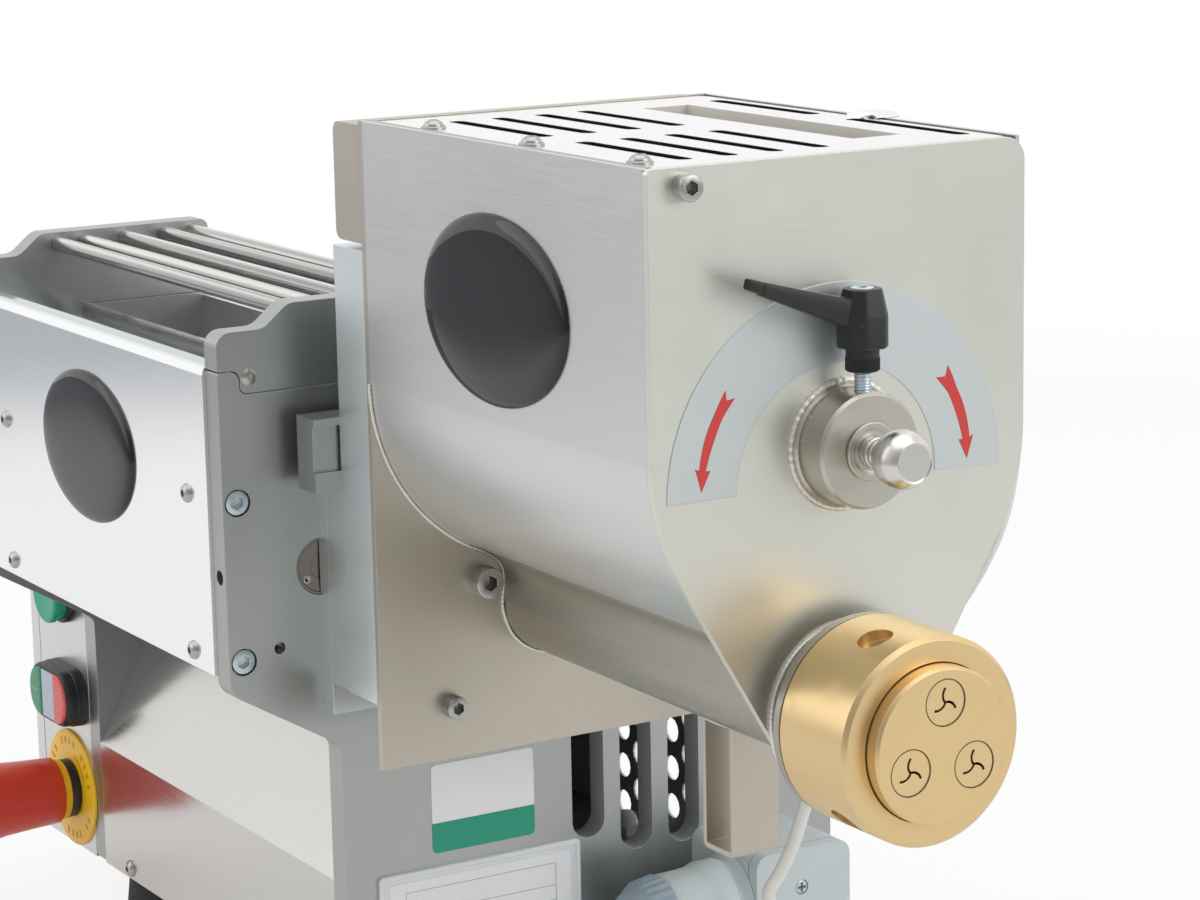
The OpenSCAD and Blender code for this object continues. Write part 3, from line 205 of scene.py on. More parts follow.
def metal(name, colour, rough=0.3, grain="z", deep=0.25, fine=1600, smudge=0.05, cloudy=0.05,
          rub=0.6, bevel=0.35, axis=None, spread=0.06, zone=None, tint=(0.4, 0.4, 0.4),
          matt=1.0, reflectionStreak=0.0):
    made, kit, shader = newFinish(name)
    here = kit.place()
    if axis:
        centre, along = axis
        arm = kit.vector("SUBTRACT", here, tuple(centre))
        across = kit.vector("MULTIPLY", arm, tuple(0.0 if k == along else 1.0 for k in "xyz"))
        reach = kit.vector("LENGTH", across, out=1)
        depth = kit.part(arm, along)
        rings = kit.add("CombineXYZ", None, {0: reach * fine, 1: depth * fine, 2: 0.0})
        lines = kit.cloud(rings, 1.0, 2, 0.6)
    else:
        stretch = tuple(fine / 60 if k == grain else fine for k in "xyz")
        lines = kit.cloud(kit.vector("MULTIPLY", here, stretch), 1.0, 3, 0.65)
    blot = kit.cloud(here, 9.0, 4, 0.6, 0.6)
    stain = kit.cloud(here, 55.0, 5, 0.7, 0.3)
    soft, worn = edgeMask(kit, bevel * mm)
    tone = (lines - 0.5) * (spread * 2) + (blot - 0.5) * (cloudy * 2) + 1.0 + worn * (0.25 * rub)
    base = kit.scaled(colour, tone)
    # painted reflection: light and dark bands running along the bar stand in for its streaky
    # highlights
    if reflectionStreak:
        reflectionBands = kit.cloud(kit.vector("MULTIPLY", here, (1.5, 420, 420)), 1.0, 1, 0.4)
        base = kit.scaled(base, (kit.ramp(reflectionBands, 0.3, 0.7) - 0.5) * reflectionStreak + 1.0)
    sheen = metalSheen
    # inside a zone the base colour is tinted and the metal turns matt; the tank, the lid and the
    # rear cover use this for painted shade, the panel's fold for a painted reflection
    if zone:
        mask = zone(kit, here)
        tint = tint(kit, here) if callable(tint) else tint
        matt = matt(kit, here) if callable(matt) else matt
        base = kit.vector("MULTIPLY", base, kit.mix(mask, (1, 1, 1), tint))
        sheen = kit.blend(mask, metalSheen, matt)
    kit.plug(shader.inputs["Base Color"], base)
    mark = kit.ramp(stain, 0.52, 0.75)
    kit.plug(shader.inputs["Roughness"], (lines - 0.5) * 0.16 + (blot - 0.5) * 0.1
             + mark * smudge + rough - worn * (0.3 * rough))
    kit.plug(shader.inputs["Metallic"], sheen)
    kit.plug(shader.inputs["Normal"], kit.add("Bump", None, {
        "Strength": deep, "Distance": 0.00008, "Height": lines, "Normal": soft}))
    return made


# moulded plastic, paint, ink and rubber: a fine skin, dust and rubbed edges
def moulded(name, colour, rough=0.4, skin=2600, deep=0.2, coat=0.0, rub=0.5, dust=0.06,
            bevel=0.4, bumpSize=0.00006, shift=0.06):
    made, kit, shader = newFinish(name)
    here = kit.place()
    grit = kit.cloud(here, skin, 2, 0.5)
    blot = kit.cloud(here, 14.0, 4, 0.6, 0.4)
    lint = kit.ramp(kit.cloud(here, 160.0, 4, 0.75), 0.6, 0.8)
    soft, worn = edgeMask(kit, bevel * mm)
    tone = (grit - 0.5) * (shift * 1.5) + (blot - 0.5) * (shift * 2) + 1.0 + worn * (0.3 * rub)
    base = kit.scaled(colour, tone)
    kit.plug(shader.inputs["Base Color"], kit.mix(lint * dust, base, (0.62, 0.61, 0.58)))
    kit.plug(shader.inputs["Roughness"], (grit - 0.5) * 0.12 + (blot - 0.5) * 0.12 + rough
             + lint * dust)
    if coat:
        kit.plug(shader.inputs["Coat Weight"], coat)
        kit.plug(shader.inputs["Coat Roughness"], 0.06)
    kit.plug(shader.inputs["Normal"], kit.add("Bump", None, {
        "Strength": deep, "Distance": bumpSize, "Height": grit, "Normal": soft}))
    return made


# a band between two working places along one axis
def between(kit, here, axis, low, high, soft=0.3):
    centre = origin["xyz".index(axis)] + (low + high) / 2 * mm
    half = (high - low) / 2 * mm
    way = kit.part(here, axis) - centre
    return kit.ramp(way.sum("ABSOLUTE", way), half, half - soft * mm)


# painted shade inside the kneading tank: the skin nearer the bowl's axis than the middle of its
# sheet, below the rim, is tinted dark
tank = {"bowlRadius": 76.6, "skin": (0.4, 0.9), "rim": (388.3, 387.6)}


def tankInsideShade(kit, here):
    arm = kit.vector("SUBTRACT", here, tuple(spot(0, 0, bowlZ)))
    low = kit.part(arm, "z")
    low = low.sum("MINIMUM", low, 0.0)
    across = kit.add("CombineXYZ", None, {0: 0.0, 1: kit.part(arm, "y"), 2: low})
    reach = kit.vector("LENGTH", across, out=1)
    under = kit.ramp(kit.part(here, "z"), *(z * mm for z in tank["rim"]))
    return under * kit.ramp(reach, *((tank["bowlRadius"] - depth) * mm for depth in tank["skin"]))


# cut walls of the vents in the side plates
vents = {"x": (-11.7, -0.3), "z": (14, 155), "y": (30, 160)}


def ventWalls(kit, here):
    across, tall, deep = (between(kit, here, axis, *band) for axis, band in vents.items())
    return across * tall * deep


# inner face of the perforated back: matt, and tinted darker and warmer as painted shade
def coverInsideShade(kit, here):
    back = edge("rear_cover", 1, "y")
    return between(kit, here, "y", back - 12, back - 0.5)


# folded top of the front panel: tinted bluish grey, a painted reflection that dims the fold's
# bright band
def panelFoldReflection(kit, here):
    fold = edge("front_panel", 1, "z")
    return kit.ramp(kit.part(here, "z"), (fold - 2.8) * mm, (fold - 0.4) * mm)


# painted shade on the cut edges of the lid's slots: dark but for the rim that hangs in its mouth,
# which stays pale and matt
lidEdgeShade = {"mouth": (16, 56), "dark": (0.16, 0.145, 0.12), "rim": (0.95, 0.90, 0.84)}


def underLid(kit, here):
    return kit.ramp(kit.part(here, "z"), (lidFace - 0.1) * mm, (lidFace - 0.2) * mm)


def inMouth(kit, here):
    return between(kit, here, "y", *lidEdgeShade["mouth"], 3)


def edgeShadeTint(kit, here):
    return kit.mix(inMouth(kit, here), lidEdgeShade["dark"], lidEdgeShade["rim"])


def edgeMatt(kit, here):
    return kit.blend(inMouth(kit, here), metalSheen, 0.1)


shaftAxis = spot(0, 0, shaftZ)
bowlAxis = spot(0, 0, bowlZ)
knobAxis = spot(0, *gapAxis)
finishes = {
    "plate": metal("satin plate", (0.42, 0.435, 0.42), 0.36, "z", 0.15, 1500, spread=0.035,
                   zone=ventWalls, tint=(0.9, 0.9, 0.9), matt=0.2),
    # the bars carry painted reflection streaks
    "bar": metal("polished bar", (0.56, 0.56, 0.54), 0.2, "x", 0.2, 1800, spread=0.05,
                 reflectionStreak=0.8),
    # its top fold carries a painted bluish-grey reflection
    "mirror": metal("polished sheet", (0.95, 0.955, 0.96), 0.1, "x", 0.06, 1200, spread=0.015,
                    cloudy=0.02, smudge=0.05, zone=panelFoldReflection, tint=(0.62, 0.66, 0.68)),
    "chute": metal("satin chute sheet", (0.66, 0.65, 0.63), 0.19, "x", 0.1, 1300, spread=0.02,
                   cloudy=0.03, smudge=0.06),
    # the cover's inner face carries painted shade
    "sheet": metal("satin sheet", (0.66, 0.66, 0.65), 0.32, "x", 0.06, 2200, spread=0.015,
                   cloudy=0.03, smudge=0.03, zone=coverInsideShade, tint=(0.62, 0.58, 0.52), matt=0.2),
    "roller": metal("ground roller", (0.62, 0.62, 0.61), 0.3, axis=(shaftAxis, "x"), deep=0.3,
                    spread=0.08),
    "bronze": metal("bronze bush", (0.55, 0.38, 0.2), 0.35, "x"),
    "dark": metal("blackened steel", (0.14, 0.14, 0.145), 0.42, "x", smudge=0.1),
    "gear": metal("cut gear steel", (0.45, 0.45, 0.46), 0.34, "x"),
    "brown": metal("oiled turned steel", (0.26, 0.23, 0.20), 0.34, axis=(knobAxis, "x")),
    "column": metal("anodised column", (0.76, 0.80, 0.82), 0.38, "z", 0.2, 1500, spread=0.035),
    # the dark tint inside the tank is painted shade
    "tank": metal("hopper wall", (0.70, 0.705, 0.695), 0.32, "x", 0.05, 2200, spread=0.012,
                  cloudy=0.03, smudge=0.02, zone=tankInsideShade, tint=(0.22, 0.2, 0.17)),
    "barrel": metal("barrel tube", (0.42, 0.395, 0.345), 0.4, "x", 0.05, 2200, spread=0.015,
                    cloudy=0.03, smudge=0.02),
    "endPlate": metal("end plate", (0.735, 0.735, 0.66), 0.36, "y", 0.05, 2200, spread=0.012,
                      cloudy=0.03, smudge=0.03),
    "backPlate": metal("back plate", (0.53, 0.49, 0.42), 0.38, "z", 0.06, 2200,
                       spread=0.015, cloudy=0.04, smudge=0.03),
    "turned": metal("turned steel", (0.55, 0.53, 0.47), 0.34, axis=(bowlAxis, "x"), deep=0.12,
                    spread=0.03),
    "pin": metal("turned pin", (0.70, 0.68, 0.64), 0.24, axis=(bowlAxis, "x"), deep=0.15,
                 spread=0.03),
    "weld": metal("weld bead", (0.78, 0.75, 0.69), 0.42, "x", 0.2, 2500, cloudy=0.12, spread=0.08),
    "zinc": metal("zinc plated", (0.54, 0.63, 0.66), 0.28, "x"),
    "brass": metal("die bronze", (0.78, 0.575, 0.30), 0.35, axis=(shaftAxis, "x"), deep=0.2,
                   spread=0.05, cloudy=0.1, smudge=0.12),
    # below its top face the lid carries painted shade
    "lid": metal("lid sheet", (0.88, 0.88, 0.88), 0.22, "x", 0.06, 2200, spread=0.015,
                 zone=underLid, tint=edgeShadeTint, matt=edgeMatt),
    "screw": metal("stainless screw", (0.46, 0.45, 0.43), 0.28, "z", spread=0.03),
    "box": metal("control box", (0.70, 0.70, 0.695), 0.3, "z", 0.2, 1500),
    "label": metal("label foil", (0.62, 0.66, 0.66), 0.5, "y", 0.05, 3000, spread=0.03,
                   cloudy=0.02, rub=0.1),
    "motor": moulded("motor paint", (0.36, 0.41, 0.43), 0.45),
    "black": moulded("black plastic", (0.016, 0.016, 0.017), 0.42),
    "lever": moulded("lever nylon", (0.013, 0.0125, 0.0125), 0.42, skin=3500, deep=0.35, rub=0.8),
    "rubber": moulded("foot rubber", (0.02, 0.02, 0.02), 0.75, dust=0.2),
    "green": moulded("green button", (0.004, 0.38, 0.22), 0.36),
    "joint": moulded("joint line", (0.10, 0.055, 0.02), 0.5, rub=0.1),
    "keyGreen": moulded("start key", (0.025, 0.27, 0.13), 0.34),
    "keyGreenMark": moulded("start mark", (0.34, 0.42, 0.26), 0.4, rub=0.1),
    "red": moulded("red key", (0.72, 0.11, 0.09), 0.34),
    "redMark": moulded("stop mark", (0.78, 0.30, 0.26), 0.4, rub=0.1),
    "stopRed": moulded("stop head", (0.72, 0.052, 0.028), 0.4, coat=0.1),
    "yellow": moulded("stop disc", (0.92, 0.56, 0.02), 0.4, coat=0.1),
    "ochre": moulded("stop disc mark", (0.62, 0.33, 0.012), 0.45, rub=0.1),
    "greyPlastic": moulded("grey plastic", (0.54, 0.60, 0.61), 0.42),
    "nutGrey": moulded("gland nut", (0.30, 0.37, 0.43), 0.45),
    "cable": moulded("cable sheath", (0.74, 0.74, 0.70), 0.4, dust=0.12),
    "whitePlastic": moulded("white plastic", (0.72, 0.73, 0.72), 0.4),
    "lens": moulded("white lens", (0.46, 0.53, 0.62), 0.3),
    "badge": moulded("badge resin", (0.007, 0.008, 0.009), 0.05, skin=900, deep=0.02,
                     dust=0.01, bevel=0.2),
    "labelRed": moulded("label red", (0.62, 0.045, 0.04), 0.45, rub=0.1),
    "sticker": moulded("sticker white", (0.86, 0.87, 0.87), 0.35, coat=0.2, rub=0.1),
    "stickerGreen": moulded("sticker green", (0.0, 0.31, 0.19), 0.35, coat=0.2, rub=0.1),
    "card": moulded("name card", (0.78, 0.79, 0.80), 0.4, coat=0.3, rub=0.1),
    "cardInk": moulded("name card rule", (0.35, 0.36, 0.38), 0.5, rub=0.1),
    "holder": moulded("clear holder", (0.70, 0.72, 0.74), 0.2, coat=0.8, rub=0.3),
}

dress = {
    "plate": "right_side_plate left_side_plate side_cheeks base_plate hook_block",
    "bar": "guard_bars tie_rods",
    "mirror": "front_panel",
    "chute": "chute",
    "sheet": "rear_cover",
    "roller": "front_roller rear_roller",
    "bronze": "roller_bushes roller_sleeves",
    "dark": "scrapers",
    "gear": "drive_pinion idler_gear auger_drive eccentric_shaft paddle_shaft",
    "column": "adapter_plate spacer_plate gear_case",
    "tank": "tank_shell",
    "barrel": "barrel",
    "endPlate": "front_plate",
    "backPlate": "back_plate bracket_tube interlock_box",
    "turned": "boss boss_bush mixing_paddle",
    "pin": "retaining_pin",
    "zinc": "lever_stud socket_screws",
    "brass": "die_ring_nut die_disc die_inserts",
    "lid": "lid",
    "screw": "lid_fittings lid_hinge button_screws auger",
    "box": "control_box",
    "motor": "motor gearbox",
    "black": "gap_knob button_bezels lid_switch",
    "lever": "clamp_lever",
    "rubber": "feet",
    "green": "green_button",
    "keyGreen": "start_button",
    "red": "stop_button",
    "stopRed": "estop_head",
    "yellow": "estop_base",
    "greyPlastic": "junction_box cable_plug",
    "cable": "switch_cable",
    "badge": "badges",
}


def dressNode(name, finish):
    body = frame["nodes"][name]
    if not body.material_slots:
        body.data.materials.append(finish)
    for place in body.material_slots:
        place.material = finish


for key, names in dress.items():
    for name in names.split():
        dressNode(name, finishes[key])
bare = set(frame["nodes"]) - {n for names in dress.values() for n in names.split()}
print("finishes on", len(frame["nodes"]) - len(bare), "nodes; bare:", sorted(bare))


# local millimetres: z goes along, y leans towards up
def seat(at, along, up=upward):
    w = Vector(along).normalized()
    u = Vector(up).cross(w)
    u = u.normalized() if u.length > 1e-4 else Vector((1, 0, 0))
    turn = Matrix((u, w.cross(u), w)).transposed().to_4x4()
    return Matrix.Translation(spot(*at)) @ turn @ Matrix.Scale(mm, 4)


def polar(r, degrees):
    return r * math.cos(math.radians(degrees)), r * math.sin(math.radians(degrees))


# turned form: (height, radius) pairs, where a radius may be a function of the angle
def lathe(bm, profile, steps=64, wide=1.0, tall=1.0, closed=False):
    rows = []
    for height, radius in profile:
        if not callable(radius) and radius < 1e-6:
            rows.append([bm.verts.new((0, 0, height))])
            continue
        row = []
        for k in range(steps):
            a = 2 * math.pi * k / steps
            r = radius(a) if callable(radius) else radius
            row.append(bm.verts.new((r * wide * math.cos(a), r * tall * math.sin(a), height)))
        rows.append(row)
    pairs = list(zip(rows, rows[1:])) + ([(rows[-1], rows[0])] if closed else [])
    for a, b in pairs:
        for k in range(steps):
            ring = [a[k % len(a)], a[(k + 1) % len(a)], b[(k + 1) % len(b)], b[k % len(b)]]
            ring = list(dict.fromkeys(ring))
            if len(ring) > 2:
                bm.faces.new(ring)


# skins a row of outlines that have as many points each
def loft(bm, sections):
    rows = [[bm.verts.new(p) for p in section] for section in sections]
    n = len(rows[0])
    for a, b in zip(rows, rows[1:]):
        for k in range(n):
            bm.faces.new((a[k], a[(k + 1) % n], b[(k + 1) % n], b[k]))
    bm.faces.new(rows[0][::-1])
    bm.faces.new(rows[-1])


# an outline at one height, and at each of several
def flat(outline, z):
    return [(x, y, z) for x, y in outline]


def levels(outline, *heights):
    return [flat(outline, z) for z in heights]


def bar(bm, x0, x1, y0, y1, low, high):
    loft(bm, levels([(x0, y0), (x1, y0), (x1, y1), (x0, y1)], low, high))


def roundRect(w, h, r, n=5):
    out = []
    for k, (sx, sy) in enumerate(((1, 1), (-1, 1), (-1, -1), (1, -1))):
        for i in range(n + 1):
            x, y = polar(r, 90 * k + 90 * i / n)
            out.append((sx * (w / 2 - r) + x, sy * (h / 2 - r) + y))
    return out


# polygon whose corners (x, y, radius) are turned into arcs
def rounded(corners, n=4):
    out = []
    for k, (x, y, r) in enumerate(corners):
        p = Vector((x, y))
        before, after = (Vector(corners[j % len(corners)][:2]) for j in (k - 1, k + 1))
        a, b = (before - p).normalized(), (after - p).normalized()
        for i in range(n + 1 if r else 1):
            t = i / n
            q = p if not r else ((p + a * r) * (1 - t) ** 2 + p * 2 * t * (1 - t)
                                 + (p + b * r) * t ** 2)
            out.append((q.x, q.y))
    return out


# even steps along a smooth curve through the points
def smoothWay(points, step):
    pts = [Vector(p) for p in points]
    ends = [pts[0] * 2 - pts[1], *pts, pts[-1] * 2 - pts[-2]]
    fine = []
    for a, b, c, d in zip(ends, ends[1:], ends[2:], ends[3:]):
        for i in range(12):
            t = i / 12
            fine.append(0.5 * ((b * 2) + (c - a) * t + (a * 2 - b * 5 + c * 4 - d) * t ** 2
                               + (b * 3 - a - c * 3 + d) * t ** 3))
    fine.append(pts[-1])
    out, ahead = [fine[0]], step
    for a, b in zip(fine, fine[1:]):
        span = (b - a).length
        while span >= ahead:
            a = a + (b - a).normalized() * ahead
            out.append(a)
            span, ahead = (b - a).length, step
        ahead -= span
    if (out[-1] - fine[-1]).length > step * 0.3:
        out.append(fine[-1])
    return out


# round bar along points; the radius is a number or a function of the length run
def tube(bm, points, radius, sides=12):
    side, run, rows = None, 0.0, []
    for k, p in enumerate(points):
        along = (points[min(k + 1, len(points) - 1)] - points[max(k - 1, 0)]).normalized()
        side = (side or along.orthogonal())
        side = (side - along * side.dot(along)).normalized()
        up = along.cross(side)
        run += (p - points[k - 1]).length if k else 0.0
        r = radius(run) if callable(radius) else radius
        rows.append([p + side * (r * math.cos(2 * math.pi * i / sides))
                     + up * (r * math.sin(2 * math.pi * i / sides)) for i in range(sides)])
    loft(bm, rows)


# ends with a hollow outline are cut into triangles
def cutUp(bm):
    bm.normal_update()
    bmesh.ops.triangulate(bm, faces=[f for f in bm.faces if len(f.verts) > 4])


def join(bm, other, place):
    other.transform(place)
    spare = bpy.data.meshes.new("spare")
    other.to_mesh(spare)
    other.free()
    bm.from_mesh(spare)
    bpy.data.meshes.remove(spare)


def piece(name, bm, place, finish, body="stand", slot=None, stands=(), bevel=0.0, sharp=38):
    bmesh.ops.recalc_face_normals(bm, faces=bm.faces)
    bm.transform(place)
    mesh = bpy.data.meshes.new(name)
    bm.to_mesh(mesh)
    bm.free()
    mesh.shade_smooth()
    mesh.set_sharp_from_angle(angle=math.radians(sharp))
    mesh.materials.append(finishes[finish])
    made = bpy.data.objects.new(name, mesh)
    bpy.context.scene.collection.objects.link(made)
    if bevel:
        soft = made.modifiers.new("soft edges", "BEVEL")
        soft.width, soft.segments, soft.limit_method = bevel * mm, 2, "ANGLE"
        soft.angle_limit = math.radians(40)
        soft.harden_normals = True
    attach(made, body)
    if stands:
        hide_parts(*stands)


# a piece that is one turned form
def turned(name, profile, place, finish, body="stand", steps=72, closed=False, **more):
    bm = bmesh.new()
    lathe(bm, profile, steps, closed=closed)
    piece(name, bm, place, finish, body, **more)


# a piece that is one skin over outlines
def lofted(name, sections, place, finish, body="stand", cut=False, **more):
    bm = bmesh.new()
    loft(bm, sections)
    if cut:
        cutUp(bm)
    piece(name, bm, place, finish, body, **more)


def hexagon(apothem):
    sector = math.pi / 3
    return lambda a: apothem / math.cos((a + sector / 2) % sector - sector / 2)


# domed and cylindrical screw heads with a hexagon socket
def buttonHead(r, h, key):
    bm = bmesh.new()
    lathe(bm, [(0, 0), (0, r), (0.12 * h, r), (0.42 * h, 0.93 * r), (0.7 * h, 0.78 * r),
               (0.9 * h, 0.58 * r), (h, 0.46 * r), (h, hexagon(key)), (0.4 * h, hexagon(key)),
               (0.32 * h, 0)], 48)
    return bm


def capHead(r, h, key):
    soft = 0.09 * r
    return [(0, 0), (0, r), (h - soft * 1.6, r), (h - soft * 0.5, r - soft * 0.45),
            (h, r - soft * 1.5), (h, hexagon(key * 1.06)), (h - 0.3, hexagon(key)),
            (h * 0.16, hexagon(key)), (h * 0.1, 0)]


# shell badges: thick resin drops on both sheets, left bare
badge = {"proud": 3.0, "tank": ((147.6, -76.6, 331.3), 51.0, 34.25),
         "panel": ((-128.0, panelFace, 243.5), 47.5, 32.0)}


def makeBadges():
    drop = [(0, 0), (0, 1), (0.1, 1.0), (0.22, 0.998), (0.34, 0.99), (0.5, 0.972), (0.64, 0.945),
            (0.76, 0.9), (0.86, 0.82), (0.93, 0.7), (0.97, 0.52), (0.99, 0.3), (1, 0)]
    for key in ("tank", "panel"):
        at, wide, tall = badge[key]
        bm = bmesh.new()
        lathe(bm, [(h * badge["proud"], r) for h, r in drop], 128, wide, tall)
        piece(key + "Badge", bm, seat(at, front), "badge", slot="badge_black",
              stands=("badges",), sharp=60)


# screw heads of the sheets: (x, z) on each face
sheetScrews = {"r": 3.9, "h": 2.2, "key": 1.35,
               "panel": ((-220.5, 176.8), (-29.5, 176.8), (-220.5, 240.4), (-29.5, 240.4)),
               "chute": ((-221.4, 24.0), (-40.6, 24.0))}
# cap screws that look to the right: place, radius, height and socket
capScrews = {"backUpper": ((backFace, -30.9, 208.5), 6.2, 7.4, 2.6),
             "backLower": ((backFace, -45.7, 160.3), 4.65, 5.6, 2.1),
             "frontTop": ((endFace, -62.8, 383.4), 4.6, 5.5, 2.1),
             "tieUpper": ((-3.2, -110.2, 240.4), 5.0, 2.9, 2.3),
             "tieLower": ((-3.2, -110.2, 176.8), 5.0, 2.9, 2.3)}
cheekPins = {"y": -103.2, "z": 289.3, "r": 3.1, "h": 0.9, "key": 1.05}


def makeScrews():
    s = sheetScrews
    bm = bmesh.new()
    for face, spots in ((panelFace, s["panel"]), (edge("chute", 0, "y"), s["chute"])):
        for x, z in spots:
            join(bm, buttonHead(s["r"], s["h"], s["key"]), seat((x, face, z), front))
    piece("sheetScrewHeads", bm, Matrix(), "screw", stands=("button_screws",))
    for name, (at, *size) in capScrews.items():
        turned(name + "Screw", capHead(*size), seat(at, right),
               "zinc" if name.startswith("tie") else "screw", steps=48, slot="fastener_steel",
               stands=("socket_screws",) if name == "tieUpper" else ())
    c = cheekPins
    r, h = c["r"], c["h"]
    profile = [(-0.6, 0), (-0.6, r + 0.5), (0.08, r + 0.5), (0.08, r), (0.5 * h, 0.86 * r),
               (0.85 * h, 0.55 * r), (h, hexagon(c["key"])), (0.3, hexagon(c["key"])), (0.2, 0)]
    for name, x, way in (("Right", 0, right), ("Left", edge("left_side_plate", 0, "x"), left)):
        turned("cheekPin" + name, profile, seat((x, c["y"], c["z"]), way), "screw", steps=48,
               slot="fastener_steel")


# clamp lever on its threaded stud, above the boss; heights are from the hub's foot
lever = {"at": (261.2, 0, 324.5), "foot": -6.8, "ribR": 5.9, "ribs": 44,
         # hub: (height, half width) of its eight flats
         "hub": ((1.2, 7.6), (1.7, 8.0), (11.5, 8.0), (12.6, 7.85), (20.0, 6.35), (20.9, 6.1),
                 (21.2, 5.7)),
         # arm: (distance out, lift, width, height) of its sections, which rise by the slope
         "arm": ((4.5, 0, 7.4, 10.4), (8.5, 0, 7.0, 9.6), (14.0, 0, 6.5, 8.4),
                 (24.0, 0, 5.7, 6.8), (34.0, 0, 5.2, 5.4), (40.4, 0, 4.9, 4.6),
                 (40.8, 0.25, 4.2, 4.0), (45.4, 0.25, 4.0, 3.8), (46.0, 0.25, 3.4, 3.2)),
         "root": (8.5, 14.0), "slope": 0.335, "lean": 0.26}
stud = {"from": 296.3, "to": 330.0, "pitch": 1.0, "core": 2.62, "crest": 0.36, "sides": 24,
        "step": 0.2}


def hubOutline(r):
    corners = []
    for k in range(8):
        side = k % 4 in (0, 3)
        x, y = (1, 0.5) if side else (0.5, 1)
        corners.append((r * (x if k in (0, 1, 6, 7) else -x), r * (y if k < 4 else -y), r * 0.16))
    return rounded(corners, 3)


def makeLever():
    place = seat(lever["at"], upward)
    low, wide = lever["foot"], lever["ribR"]
    ribs = lambda a: wide - 0.2 + 0.2 * math.cos(lever["ribs"] * a)
    turned("leverNut", [(low, 3.05), (low, 5.2), (low + 0.5, ribs), (low + 4.7, ribs),
                        (low + 4.9, 5.7), (1.6, 5.7), (1.6, 3.05)],
           place, "lever", "lever", 264, True, stands=("clamp_lever",), sharp=30)
    bm = bmesh.new()
    loft(bm, [flat(hubOutline(r), z) for z, r in lever["hub"]])
    rootY, rootZ = lever["root"]
    sections = []
    for y, lift, w, h in lever["arm"]:
        z = rootZ + (y - rootY) * lever["slope"] + lift
        sections.append([(x, -y + v * lever["lean"], z + v)
                         for x, v in roundRect(w, h, min(w, h) * 0.24, 3)])
    loft(bm, sections)
    piece("leverArm", bm, seat(lever["at"], upward, rear), "lever", "lever",
          slot=slotOf["clamp_lever"], sharp=28)
    top = lever["hub"][-1][0]
    turned("leverScrew", [(top - 1, 0), (top - 1, 3.9), (top + 0.15, 3.9), (top + 0.35, 3.5),
                          (top + 0.35, hexagon(1.8)), (top - 0.8, hexagon(1.8)), (top - 0.9, 0)],
           place, "zinc", "lever", 48, slot="zinc")


def makeStud():
    n = stud
    count = int((n["to"] - n["from"]) / n["step"])
    rows = []
    for i in range(count + 1):
        z = i * (n["to"] - n["from"]) / count
        row = []
        for k in range(n["sides"]):
            turn = (z / n["pitch"] - k / n["sides"]) % 1.0
            r = n["core"] + n["crest"] * (1 - abs(2 * turn - 1))
            row.append((*polar(r, 360 * k / n["sides"]), z))
        rows.append(row)
    lofted("stud", rows, seat((lever["at"][0], 0, n["from"]), upward), "zinc",
           homeOf["lever_stud"], stands=("lever_stud",), sharp=80)


# pull pin with its ball, and the ring that guides it
pin = {"start": 233.5, "ball": 283.4, "ballR": 10.2, "neck": 274.6, "flat": 43.3, "end": 290.45}


def makePin():
    x0, ball, r = pin["start"], pin["ball"], pin["ballR"]
    place = seat((0, 0, bowlZ), right)
    profile = [(x0, 0), (x0, 3.7), (x0 + 1.5, 5.2), (269.6, 5.2), (269.8, 4.75), (270.5, 4.75),
               (270.7, 5.1), (272.0, 5.1), (272.3, 4.8), (273.6, 4.8), (274.3, 5.15)]
    first, last = math.degrees(math.acos((ball - pin["neck"]) / r)), 180 - pin["flat"]
    for i in range(22):
        x, y = polar(r, first + (last - first) * i / 21)
        profile.append((ball - x, y))
    turned("pullPin", profile + [(pin["end"], 6.4), (pin["end"], 0)], place, "pin", "pull_pin",
           stands=("retaining_pin",), sharp=32)
    turned("guideRing", [(247.02, 5.26), (247.02, 7.97), (265.72, 7.97), (265.72, 9.6),
                         (266.05, 10.0), (266.75, 10.0), (267.0, 9.7), (267.0, 8.0), (266.5, 7.4),
                         (266.2, 6.6), (266.2, 5.26)],
           place, "turned", closed=True, stands=("boss_bush",), sharp=32)


# welds: beads laid in steps
weld = {"step": 0.45, "pitch": 1.9, "bowlR": 77.2, "foot": 50.4, "web": (50.05, 246.0),
        # (y, z) from the bowl down the fillet and round the barrel
        "turn": ((31.5, 220.7), (28.5, 218.8), (25.0, 216.5), (23.1, 214.5), (21.9, 212.1),
                 (21.4, 208.9), (21.5, 205.7), (21.8, 202.6), (22.2, 199.4), (22.0, 195.1),
                 (20.4, 189.6), (18.0, 184.9), (15.0, 181.6), (11.8, 179.1), (6.9, 176.6),
                 (2.1, 175.7)),
        # (y, z) of the fillet's hidden side, and where it runs out on the bowl
        "core": ((19.5, 199.6), (14.0, 214.6), (20.0, 217.7), (34.5, 223.3)),
        "runOut": ((36.5, 223.5), (34.3, 222.3)),
        # rings: x, height of the axis, radius, thickness, step and pitch
        "rings": {"bossWeld": (250.5, bowlZ, 22.0, 1.15, 0.45, 3.0),
                  "ringWeldRear": (258.8, shaftZ, 34.6, 0.85, 0.5, 1.7),
                  "noseWeld": (250.6, shaftZ, 30.9, 1.1, 0.5, 1.9)},
        # beads of the bracket: y and z at the ends and in the middle
        "bracketX": (172.6, 182, 191.8),
        "bracket": {"bracketWeldFront": ((-8.9, 179.0), (-9.0, 178.6)),
                    "bracketWeldRear": ((11.5, 179.6), (11.6, 179.3))}}


def bead(name, points, radius, step=weld["step"], pitch=weld["pitch"]):
    wave = lambda run: radius * (0.8 + 0.2 * abs(math.sin(math.pi * run / pitch))
                                 + 0.05 * math.sin(run * 0.43))
    bm = bmesh.new()
    tube(bm, smoothWay(points, step), wave, 10)
    piece(name, bm, working, "weld", slot="tank_steel", sharp=60)


# points in a plane of constant x; angles run from the rear towards the top
def arc(x, z, r, first, last, steps):
    turns = (polar(r, first + (last - first) * k / steps) for k in range(steps + 1))
    return [(x, y, z + up) for y, up in turns]


